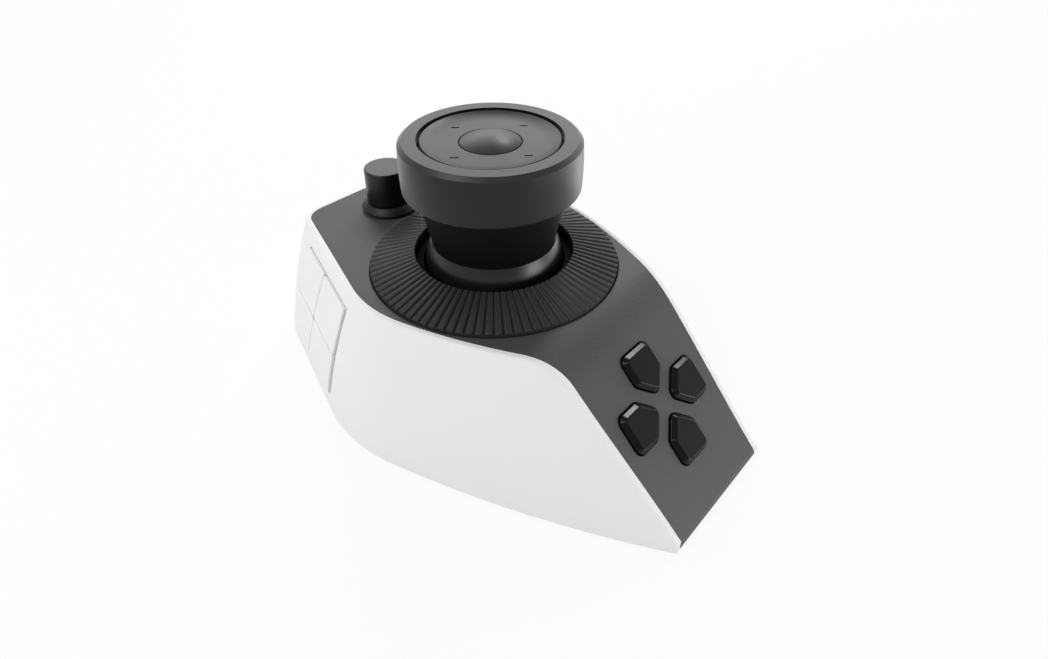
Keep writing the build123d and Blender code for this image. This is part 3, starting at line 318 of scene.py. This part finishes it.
class Moulding(NamedTuple):
    """Look of a moulded plastic, with the grain's size and the bump's depth in millimetres."""
    rough: float
    spread: float
    grain: float
    depth: float
    specular: float
    sheen: float = 0.0


MOULDINGS = {
    "satin_white": Moulding(rough=0.5, spread=0.012, grain=0.2, depth=0.006, specular=0.35),
    "grained_charcoal": Moulding(rough=0.56, spread=0.3, grain=0.45, depth=0.06, specular=0.6),
    "soft_touch_grey": Moulding(rough=0.34, spread=0.1, grain=0.18, depth=0.012, specular=0.31, sheen=0.2),
    "soft_touch_cup": Moulding(rough=0.34, spread=0.1, grain=0.18, depth=0.012, specular=0.3, sheen=0.4),
    "button_grey": Moulding(rough=0.34, spread=0.1, grain=0.18, depth=0.012, specular=0.34, sheen=0.2),
    "neck_black": Moulding(rough=0.5, spread=0.2, grain=0.2, depth=0.01, specular=0.1),
    "ball_satin": Moulding(rough=0.34, spread=0.15, grain=0.16, depth=0.004, specular=0.5),
    "mark_fill": Moulding(rough=0.85, spread=0.2, grain=0.1, depth=0.01, specular=0.02),
    "knob_black": Moulding(rough=0.28, spread=0.12, grain=0.18, depth=0.012, specular=0.32),
    "collar_black": Moulding(rough=0.46, spread=0.15, grain=0.18, depth=0.008, specular=0.3),
    "base_black": Moulding(rough=0.62, spread=0.2, grain=0.4, depth=0.04, specular=0.35),
    "inner_black": Moulding(rough=0.55, spread=0.15, grain=0.3, depth=0.02, specular=0.35),
    "well_black": Moulding(rough=0.7, spread=0.3, grain=0.3, depth=0.02, specular=0.05),
    "bonded_magnet": Moulding(rough=0.5, spread=0.2, grain=0.25, depth=0.02, specular=0.5),
}


def tinted(base, factor):
    """Colour made darker or lighter by a factor."""
    return tuple(min(1.0, value * factor) for value in base)


def moulded(name, base):
    """Moulded plastic: fine spark-eroded grain, soft cloudiness and a matching uneven gloss."""
    look = MOULDINGS[name]
    finish = Finish(name)
    fine = finish.grain(look.grain * MM, detail=3.0)
    pits = finish.pits(look.grain * 2 * MM)
    cloud = finish.grain(CLOUD_SIZE)
    tone = fine * 0.6 + cloud * 0.4
    finish.set({
        "Base Color": finish.shades(base, tone, look.spread),
        "Roughness": look.rough - 0.06 + fine * 0.08 + cloud * 0.06,
        "Specular IOR Level": look.specular,
        "Sheen Weight": look.sheen,
        "Sheen Roughness": 0.3,
        "Normal": finish.bump(fine * 0.5 + pits * 0.5, look.depth * MM),
    })
    return finish


def cup_with_painted_bevel_light(base, rim):
    """Soft-touch grey of the cup, with a painted highlight: the bevel round its mouth is painted paler."""
    finish = moulded("soft_touch_cup", base)
    bevel = finish.step(finish.axis(2), *(CUP_HIGH.z - drop for drop in CUP_BEVEL_DROPS))
    outer = finish.step(finish.radius(DIAL_CENTRE), *CUP_BEVEL_RADII)
    # Painted highlight: the bevel round the mouth gets the paler rim grey
    finish.set({"Base Color": finish.blend(bevel * outer, base, rim)})
    return finish


def gloss_black(base):
    """Polished black keys with faint handling marks in the gloss."""
    finish = Finish("thumb_key_gloss")
    smear = finish.grain(3.5 * MM, detail=4.0, stretch=(1.0, 0.35, 0.35))
    dust = finish.grain(0.3 * MM, detail=1.0)
    waves = finish.grain(6 * MM, detail=1.0)
    finish.set({
        "Base Color": finish.shades(base, smear, 0.5),
        "Roughness": 0.06 + smear * 0.14 + dust * 0.03,
        "Specular IOR Level": 0.2,
        "Normal": finish.bump(waves, 0.03 * MM),
    })
    return finish


def cone_fall(sizes):
    """Drop of the dial's cone for each metre outwards."""
    return (DIAL_HIGH.z - PANEL_TOP - sizes.rim_rise) / (DIAL_RADIUS - sizes.bore)


def dial_black(base, sizes):
    """Dial moulding: rib crests a little polished by hands and painted paler as light on them, grooves matt
    and painted darker as shade.
    """
    finish = Finish("ribbed_dial_black")
    fall = cone_fall(sizes)
    cone = DIAL_HIGH.z + sizes.bore * fall - finish.radius(DIAL_CENTRE) * fall
    sunk = (cone - finish.axis(2)) / sizes.depth
    crest = finish.step(sunk, *CREST_FADE)
    fine = finish.grain(0.22 * MM, detail=3.0)
    share = crest * 0.85 + fine * 0.15
    finish.set({
        # Painted light and shade: crests paler and grooves darker than the base colour
        "Base Color": finish.blend(share, tinted(base, GROOVE_PAINTED_SHADE), tinted(base, CREST_PAINTED_LIGHT)),
        "Roughness": 0.52 - crest * 0.1 + fine * 0.08,
        "Specular IOR Level": 0.3,
        "Normal": finish.bump(fine, 0.015 * MM),
    })
    return finish


def plated_steel(name, base):
    """Plated steel with fine turning marks and a cloudy gloss."""
    finish = Finish(name)
    turning = finish.grain(0.15 * MM, stretch=(1.0, 1.0, 0.2))
    cloud = finish.grain(2.5 * MM, detail=3.0)
    finish.set({
        "Base Color": finish.shades(base, cloud, 0.12),
        "Metallic": 1.0,
        "Roughness": 0.24 + turning * 0.16 + cloud * 0.08,
        "Normal": finish.bump(turning, 0.006 * MM),
    })
    return finish


def lacquered_board(base):
    """Circuit board: lacquer over faint copper tracks."""
    finish = Finish("lacquered_board")
    tracks = finish.node("ShaderNodeTexBrick", {"offset": 0.5},
                         {"Vector": finish.place, "Scale": 160.0, "Mortar Size": 0.018}, "Fac")
    weave = finish.grain(0.6 * MM)
    finish.set({
        "Base Color": finish.blend(tracks * 0.7 + weave * 0.3, base, tinted(base, 1.7)),
        "Roughness": 0.34 + weave * 0.12,
        "Normal": finish.bump(tracks, 0.02 * MM),
    })
    return finish


def crinkled_foil(base):
    """Battery pouch of soft foil with shallow creases."""
    finish = Finish("battery_foil")
    crease = finish.grain(4 * MM, detail=4.0, stretch=(1.0, 0.4, 1.0))
    finish.set({
        "Base Color": finish.shades(base, crease, 0.15),
        "Metallic": 0.9,
        "Roughness": 0.3 + crease * 0.2,
        "Normal": finish.bump(crease, 0.25 * MM),
    })
    return finish


def dusty_rubber(base):
    """Rubber feet with a fine grain and a dusty bloom."""
    finish = Finish("foot_rubber")
    bloom = finish.grain(1.2 * MM, detail=4.0)
    fine = finish.grain(0.2 * MM)
    finish.set({
        "Base Color": finish.shades(base, bloom, 0.35),
        "Roughness": 0.78 + bloom * 0.14,
        "Specular IOR Level": 0.3,
        "Normal": finish.bump(fine, 0.03 * MM),
    })
    return finish


# Nodes inside the console, by the finish they share
WORKS = {
    "board": ("main_board", "stick_sensor_board", "top_switch_board", "thumb_key_board", "finger_key_board"),
    "inner": ("gimbal_yoke", "stick_shaft", "spindle_cap", "rocker_ring", "finger_key_frame", "encoder_body",
              "thumb_key_switches", "finger_key_switches"),
    # Painted shade: the dial carrier and gimbal base, seen in the gap round the joystick, are painted deep
    # black
    "gap_shade": ("dial_carrier", "gimbal_base"),
    "foil": ("battery_cell",),
    "magnet": ("dial_magnet_ring", "stick_magnet"),
}
WORKS_NODES = {name for names in WORKS.values() for name in names}


def key_nodes(prefix):
    """Names of the keys that begin alike, without the works behind them."""
    return [name for name in NODES if name.startswith(prefix) and name not in WORKS_NODES]


def paint(finish, *names):
    """Gives CAD nodes their finish."""
    for name in names:
        slots = NODES[name].data.materials
        slots.clear()
        slots.append(finish.material)


def add_piece(name, bm, finish, body, replaced=()):
    """Turns a bmesh into a smooth piece that rides on a body."""
    bmesh.ops.recalc_face_normals(bm, faces=bm.faces)
    mesh = bpy.data.meshes.new(name)
    bm.to_mesh(mesh)
    bm.free()
    mesh.materials.append(finish.material)
    piece = bpy.data.objects.new(name, mesh)
    bpy.context.scene.collection.objects.link(piece)
    mesh.shade_smooth()
    mesh.set_sharp_from_angle(angle=SHARP_ANGLE)
    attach(piece, body)
    if replaced:
        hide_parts(*replaced)


def chain(bm, points):
    """Open run of edges through points."""
    verts = [bm.verts.new(point) for point in points]
    return [bm.edges.new(pair) for pair in zip(verts, verts[1:])]


def verts_in(geom):
    """Points among elements of a mesh."""
    return [item for item in geom if isinstance(item, bmesh.types.BMVert)]


def dial_sector(bm, sizes):
    """One rib with half a vee groove on each side, as a closed strip from the cone round to the skirt."""
    half = pi / sizes.ribs
    fall = cone_fall(sizes)
    foot = PANEL_TOP - sizes.sink

    def under(radius):
        return DIAL_HIGH.z - (radius - sizes.bore) * fall - sizes.thickness

    def run(radius, level, depth):
        wall = half - sizes.groove / 2 / radius
        turns = [(-half, depth), (-wall, 0), (wall, 0), (half, depth)]
        points = [(radius * cos(turn), radius * sin(turn), level - drop) for turn, drop in turns]
        return chain(bm, points)

    lip = DIAL_RADIUS - sizes.lip
    skirt = sizes.skirt_bore + sizes.skirt
    # Radius and height of each station of the strip, and how deep the grooves are there
    stations = [
        (sizes.bore, DIAL_HIGH.z, sizes.depth),
        (DIAL_RADIUS, PANEL_TOP + sizes.rim_rise, sizes.depth),
        (DIAL_RADIUS, foot, 0),
        (lip, foot, 0),
        (lip, under(lip), 0),
        (skirt, under(skirt), 0),
        (skirt, DIAL_LOW.z, 0),
        (sizes.skirt_bore, DIAL_LOW.z, 0),
        (sizes.skirt_bore, under(sizes.skirt_bore), 0),
        (sizes.bore, DIAL_HIGH.z - sizes.thickness, 0),
    ]
    runs = [run(*station) for station in stations]
    for near, far in zip(runs, runs[1:] + runs[:1]):
        bmesh.ops.bridge_loops(bm, edges=near + far)
    tops = {vert for edge in (runs[0][1], runs[1][1]) for vert in edge.verts}
    edges = [edge for edge in bm.edges if set(edge.verts) <= tops]
    bmesh.ops.bevel(bm, geom=edges, offset=sizes.crest, offset_type="OFFSET", segments=2, profile=0.5,
                    affect="EDGES", material=-1)


def screw_places():
    """Middles of the base screws, from the separate screws in their CAD node."""
    groups = []
    for vert in NODES["base_screws"].data.vertices:
        near = [group for group in groups if (group[0] - vert.co).xy.length < SCREW_SPAN]
        if near:
            near[0].append(vert.co)
        else:
            groups.append([vert.co])
    return [Vector([(min(axis) + max(axis)) / 2 for axis in zip(*group)]) for group in groups]


def cross_screw(bm, sizes, low, high):
    """Pan-head screw on the Z axis, head down at low, with a cross recess in the head."""
    seat = low + sizes.head_height
    outline = [
        (sizes.head - sizes.edge, low),
        (sizes.head, low + sizes.edge),
        (sizes.head, seat),
        (sizes.shank, seat),
        (sizes.shank, high - sizes.edge),
        (sizes.shank - sizes.edge, high),
        (0, high),
    ]
    profile = chain(bm, [(radius, 0, level) for radius, level in outline])
    bmesh.ops.spin(bm, geom=bm.verts[:] + profile, cent=(0, 0, 0), axis=(0, 0, 1), angle=2 * pi,
                   steps=sizes.facets, use_merge=True)
    bmesh.ops.remove_doubles(bm, verts=bm.verts, dist=MERGE_DISTANCE)
    rim = [edge for edge in bm.edges if edge.is_boundary]
    near, far = sizes.slot / 2, sizes.arm
    arm = [Vector((far, -near, low)), Vector((far, near, low)), Vector((near, near, low))]
    turns = [Matrix.Rotation(turn * pi / 2, 3, "Z") for turn in range(4)]
    cross = chain(bm, [turn @ corner for turn in turns for corner in arm])
    cross.append(bm.edges.new((cross[-1].verts[1], cross[0].verts[0])))
    bmesh.ops.triangle_fill(bm, use_beauty=True, edges=rim + cross)
    made = bmesh.ops.extrude_edge_only(bm, edges=cross)["geom"]
    floor = verts_in(made)
    bmesh.ops.scale(bm, verts=floor, vec=(sizes.taper, sizes.taper, 1))
    bmesh.ops.translate(bm, verts=floor, vec=(0, 0, sizes.depth))
    ends = [item for item in made if isinstance(item, bmesh.types.BMEdge) and set(item.verts) <= set(floor)]
    bmesh.ops.edgeloop_fill(bm, edges=ends)


class ConsoleOperator(Operator):
    """Base of the console's operators."""
    bl_options = {"REGISTER", "UNDO"}

    def execute(self, context):
        self.make(context.scene)
        return {"FINISHED"}


class CONSOLE_OT_shell(ConsoleOperator):
    """Finish the white side shell and the finger keys"""
    bl_idname = "console.shell"
    bl_label = "White Shell"

    def make(self, scene):
        white = moulded("satin_white", scene.console_colours.shell)
        paint(white, "side_shell", *key_nodes("finger_key_"))


class CONSOLE_OT_panel(ConsoleOperator):
    """Finish the charcoal saddle panel"""
    bl_idname = "console.panel"
    bl_label = "Saddle Panel"

    def make(self, scene):
        paint(moulded("grained_charcoal", scene.console_colours.panel), "top_panel")


class CONSOLE_OT_dial(ConsoleOperator):
    """Model the ribbed dial with rounded crests"""
    bl_idname = "console.dial"
    bl_label = "Ribbed Dial"

    def make(self, scene):
        sizes = scene.console_dial
        bm = bmesh.new()
        dial_sector(bm, sizes)
        bmesh.ops.spin(bm, geom=bm.verts[:] + bm.edges[:] + bm.faces[:], cent=(0, 0, 0), axis=(0, 0, 1),
                       angle=2 * pi, steps=sizes.ribs, use_duplicate=True)
        bmesh.ops.remove_doubles(bm, verts=bm.verts, dist=MERGE_DISTANCE)
        bmesh.ops.translate(bm, verts=bm.verts, vec=(DIAL_CENTRE.x, DIAL_CENTRE.y, 0))
        finish = dial_black(scene.console_colours.dial, sizes)
        add_piece("ribbed_dial", bm, finish, "dial", ["dial_ring"])


class CONSOLE_OT_stick(ConsoleOperator):
    """Finish the joystick: cup, disc, button, neck and ball skirt"""
    bl_idname = "console.stick"
    bl_label = "Joystick"

    def make(self, scene):
        colours = scene.console_colours
        paint(moulded("soft_touch_grey", colours.grip), "four_way_disc")
        paint(moulded("button_grey", colours.button), "centre_button")
        paint(cup_with_painted_bevel_light(colours.grip, colours.rim), "rotary_cup")
        paint(moulded("neck_black", colours.neck), "neck_spindle")
        paint(moulded("ball_satin", colours.ball), "ball_skirt")


class CONSOLE_OT_marks(ConsoleOperator):
    """Set the four direction marks into the disc"""
    bl_idname = "console.marks"
    bl_label = "Direction Marks"

    def make(self, scene):
        sizes = scene.console_marks
        bm = bmesh.new()
        turned = Matrix.Rotation(sizes.heading, 4, "Z")
        scale = Matrix.Diagonal((sizes.run, sizes.width, sizes.proud + sizes.sunk, 1))
        for turn in range(4):
            place = Matrix.Translation(Matrix.Rotation(turn * pi / 2, 3, "Z") @ Vector((0, sizes.reach, 0)))
            made = bmesh.ops.create_cube(bm, size=1.0, matrix=place @ turned @ scale)
            upright = [edge for vert in made["verts"] for edge in vert.link_edges
                       if abs(edge.verts[0].co.z - edge.verts[1].co.z) > sizes.proud]
            bmesh.ops.bevel(bm, geom=list(dict.fromkeys(upright)), offset=sizes.width * MARK_ROUNDING,
                            segments=4, profile=0.5, affect="EDGES", material=-1)
        level = DISC_HIGH.z - sizes.dish + (sizes.proud - sizes.sunk) / 2
        bmesh.ops.translate(bm, verts=bm.verts, vec=(DIAL_CENTRE.x, DIAL_CENTRE.y, level))
        finish = moulded("mark_fill", scene.console_colours.mark)
        add_piece("direction_marks", bm, finish, "disc")


class CONSOLE_OT_knob(ConsoleOperator):
    """Finish the small knob and its collar"""
    bl_idname = "console.knob"
    bl_label = "Small Knob"

    def make(self, scene):
        colours = scene.console_colours
        paint(moulded("knob_black", colours.knob), "small_knob")
        paint(moulded("collar_black", colours.ball), "knob_collar")


class CONSOLE_OT_thumb_keys(ConsoleOperator):
    """Finish the glossy thumb keys"""
    bl_idname = "console.thumb_keys"
    bl_label = "Thumb Keys"

    def make(self, scene):
        paint(gloss_black(scene.console_colours.key), *key_nodes("thumb_key_"))


class CONSOLE_OT_screws(ConsoleOperator):
    """Model the base plate's screws with cross recesses"""
    bl_idname = "console.screws"
    bl_label = "Base Screws"

    def make(self, scene):
        low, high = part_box("base_screws")
        bm = bmesh.new()
        cross_screw(bm, scene.console_screws, low.z, high.z)
        screw = bm.verts[:] + bm.edges[:] + bm.faces[:]
        first, *others = screw_places()
        for place in others:
            copy = bmesh.ops.duplicate(bm, geom=screw)["geom"]
            bmesh.ops.translate(bm, verts=verts_in(copy), vec=(place.x, place.y, 0))
        bmesh.ops.translate(bm, verts=verts_in(screw), vec=(first.x, first.y, 0))
        finish = plated_steel("screw_steel", scene.console_colours.steel)
        add_piece("cross_screws", bm, finish, "console", ["base_screws"])


class CONSOLE_OT_underside(ConsoleOperator):
    """Finish the base plate, feet and rear socket"""
    bl_idname = "console.underside"
    bl_label = "Underside and Socket"

    def make(self, scene):
        colours = scene.console_colours
        paint(moulded("base_black", colours.base), "base_plate")
        paint(dusty_rubber(colours.rubber), "rubber_feet")
        paint(plated_steel("plated_steel", colours.steel), "usb_socket", "encoder_shaft")


class CONSOLE_OT_works(ConsoleOperator):
    """Finish the boards, gimbal, cell and other pieces inside"""
    bl_idname = "console.works"
    bl_label = "Inner Works"

    def make(self, scene):
        colours = scene.console_colours
        paint(lacquered_board(colours.board), *WORKS["board"])
        paint(moulded("inner_black", colours.inner), *WORKS["inner"])
        paint(moulded("well_black", colours.gap_shade), *WORKS["gap_shade"])
        paint(crinkled_foil(colours.foil), *WORKS["foil"])
        paint(moulded("bonded_magnet", colours.magnet), *WORKS["magnet"])


def softbox(name, place, aim, width, height, watts):
    """Soft lamp that faces a point and isn't seen by the camera."""
    lamp = bpy.data.lights.new(name, "AREA")
    lamp.shape = "RECTANGLE"
    lamp.size = width
    lamp.size_y = height
    lamp.energy = watts
    made = bpy.data.objects.new(name, lamp)
    made.location = place
    made.visible_camera = False
    made.rotation_euler = (Vector(aim) - Vector(place)).to_track_quat("-Z", "Y").to_euler()
    bpy.context.scene.collection.objects.link(made)


# Point that most lamps face, in metres
CONSOLE_TOP = (0, 0, 0.05)
# Place of each lamp, the point it faces, and its width and height, in metres
LAMPS = {
    "back_softbox": ((0.55, 0.6, 0.7), CONSOLE_TOP, 0.9, 0.7),
    "small_lamp": ((0.585, 0.26, 0.69), CONSOLE_TOP, 0.14, 0.14),
    "left_softbox": ((-0.62, 0.1, 0.68), CONSOLE_TOP, 0.6, 0.5),
    "right_softbox": ((0.9, -0.22, 0.4), CONSOLE_TOP, 0.5, 0.5),
    "floor_card": ((0.3, -0.2, 0.0), (0.3, -0.2, 1.0), 0.3, 0.4),
    "front_card": ((0.2, -0.6, 0.06), CONSOLE_TOP, 0.3, 0.12),
}
# Distances over which the floor runs into the white backdrop, in metres
FLOOR_FADE = (0.3, 1.2)
# Direction the glossy backdrop is centred on, and the heights and turns over which it fades
BACKDROP_SIDE = (0.85, 0.53, 0)
BACKDROP_TOP = (0.7, 0.15)
BACKDROP_ENDS = (-0.4, 0.1)
# Half the floor's side and its drop below the feet, in metres
FLOOR_REACH = 6.0
FLOOR_DROP = 0.05 * MM
# Width of the camera's sensor in millimetres, and its near limit in metres
SENSOR_WIDTH = 36.0
NEAR_LIMIT = 0.01


def ray_kinds(graph):
    """Three values, each 1 for one kind of ray: from the camera, by way of a gloss, through a glass."""
    kinds = ("Is Camera Ray", "Is Glossy Ray", "Is Transmission Ray")
    return [graph.node("ShaderNodeLightPath", output=kind) for kind in kinds]


class CONSOLE_OT_stage(ConsoleOperator):
    """Set up the floor, lamps, world and camera"""
    bl_idname = "console.stage"
    bl_label = "Studio"

    def make(self, scene):
        settings = scene.console_stage
        self.floor(settings)
        self.world(scene, settings)
        for name, (place, aim, width, height) in LAMPS.items():
            softbox(name, place, aim, width, height, getattr(settings, name))
        self.camera(scene, settings)

    def floor(self, settings):
        bm = bmesh.new()
        bmesh.ops.create_grid(bm, x_segments=1, y_segments=1, size=FLOOR_REACH)
        bmesh.ops.translate(bm, verts=bm.verts, vec=(0, 0, CAD_LOW.z - FLOOR_DROP))
        mesh = bpy.data.meshes.new("floor")
        bm.to_mesh(mesh)
        bm.free()
        finish = Finish("pale_floor")
        finish.set({"Base Color": settings.floor, "Roughness": 0.8, "Specular IOR Level": 0.1})
        seen, glossy, through = ray_kinds(finish)
        plain = Wire(finish, finish.shader.outputs[0])
        glow = finish.node("ShaderNodeEmission", None, {"Color": WHITE, "Strength": 1.0})
        away = finish.step(finish.radius(DIAL_CENTRE), *FLOOR_FADE)
        share = (seen + glossy + through) * (settings.floor_glow + away * (1.0 - settings.floor_glow))
        mixed = finish.node("ShaderNodeMixShader", None, {0: share, 1: plain, 2: glow})
        finish.feed(finish.tree.nodes["Material Output"].inputs["Surface"], mixed)
        mesh.materials.append(finish.material)
        floor = bpy.data.objects.new("floor", mesh)
        bpy.context.scene.collection.objects.link(floor)

    def world(self, scene, settings):
        scene.world = bpy.data.worlds.new("studio")
        scene.world.use_nodes = True
        graph = Graph(scene.world.node_tree)
        seen, glossy, through = ray_kinds(graph)
        way = graph.node("ShaderNodeTexCoord", output="Generated")
        rise = graph.node("ShaderNodeSeparateXYZ", None, {"Vector": way}, 2)
        back = graph.node("ShaderNodeVectorMath", {"operation": "DOT_PRODUCT"},
                          {0: way, 1: BACKDROP_SIDE}, "Value")
        backdrop = graph.step(rise, *BACKDROP_TOP) * graph.step(back, *BACKDROP_ENDS)
        strength = settings.ambient + (seen + (glossy + through) * backdrop) * (1.0 - settings.ambient)
        sky = graph.tree.nodes["Background"]
        graph.feed(sky.inputs["Color"], WHITE)
        graph.feed(sky.inputs["Strength"], strength)

    def camera(self, scene, settings):
        lens = bpy.data.cameras.new("camera")
        lens.lens = settings.lens
        lens.sensor_width = SENSOR_WIDTH
        lens.sensor_fit = "HORIZONTAL"
        lens.clip_start = NEAR_LIMIT
        camera = bpy.data.objects.new("camera", lens)
        camera.location = settings.place
        camera.rotation_euler = Euler((pi / 2 - settings.pitch, 0, settings.heading))
        scene.collection.objects.link(camera)
        scene.camera = camera
        scene.view_settings.view_transform = "Standard"


OPERATORS = (
    CONSOLE_OT_shell,
    CONSOLE_OT_panel,
    CONSOLE_OT_dial,
    CONSOLE_OT_stick,
    CONSOLE_OT_marks,
    CONSOLE_OT_knob,
    CONSOLE_OT_thumb_keys,
    CONSOLE_OT_screws,
    CONSOLE_OT_underside,
    CONSOLE_OT_works,
    CONSOLE_OT_stage,
)
GROUPS = {
    "console_colours": ConsoleColours,
    "console_dial": DialSizes,
    "console_screws": ScrewSizes,
    "console_marks": MarkSizes,
    "console_stage": StageSettings,
}


class CONSOLE_PT_sidebar(Panel):
    """Lists the console's operators in the sidebar."""
    bl_label = "Editing Console"
    bl_space_type = "VIEW_3D"
    bl_region_type = "UI"
    bl_category = "Console"

    def draw(self, context):
        for operator in OPERATORS:
            self.layout.operator(operator.bl_idname)


def register():
    for group in GROUPS.values():
        bpy.utils.register_class(group)
    for name, group in GROUPS.items():
        setattr(bpy.types.Scene, name, PointerProperty(type=group))
    for made in (*OPERATORS, CONSOLE_PT_sidebar):
        bpy.utils.register_class(made)


def unregister():
    for made in (CONSOLE_PT_sidebar, *reversed(OPERATORS)):
        bpy.utils.unregister_class(made)
    for name, group in GROUPS.items():
        delattr(bpy.types.Scene, name)
        bpy.utils.unregister_class(group)


def main():
    register()
    for operator in OPERATORS:
        group, name = operator.bl_idname.split(".")
        getattr(getattr(bpy.ops, group), name)()


if __name__ == "__main__":
    main()
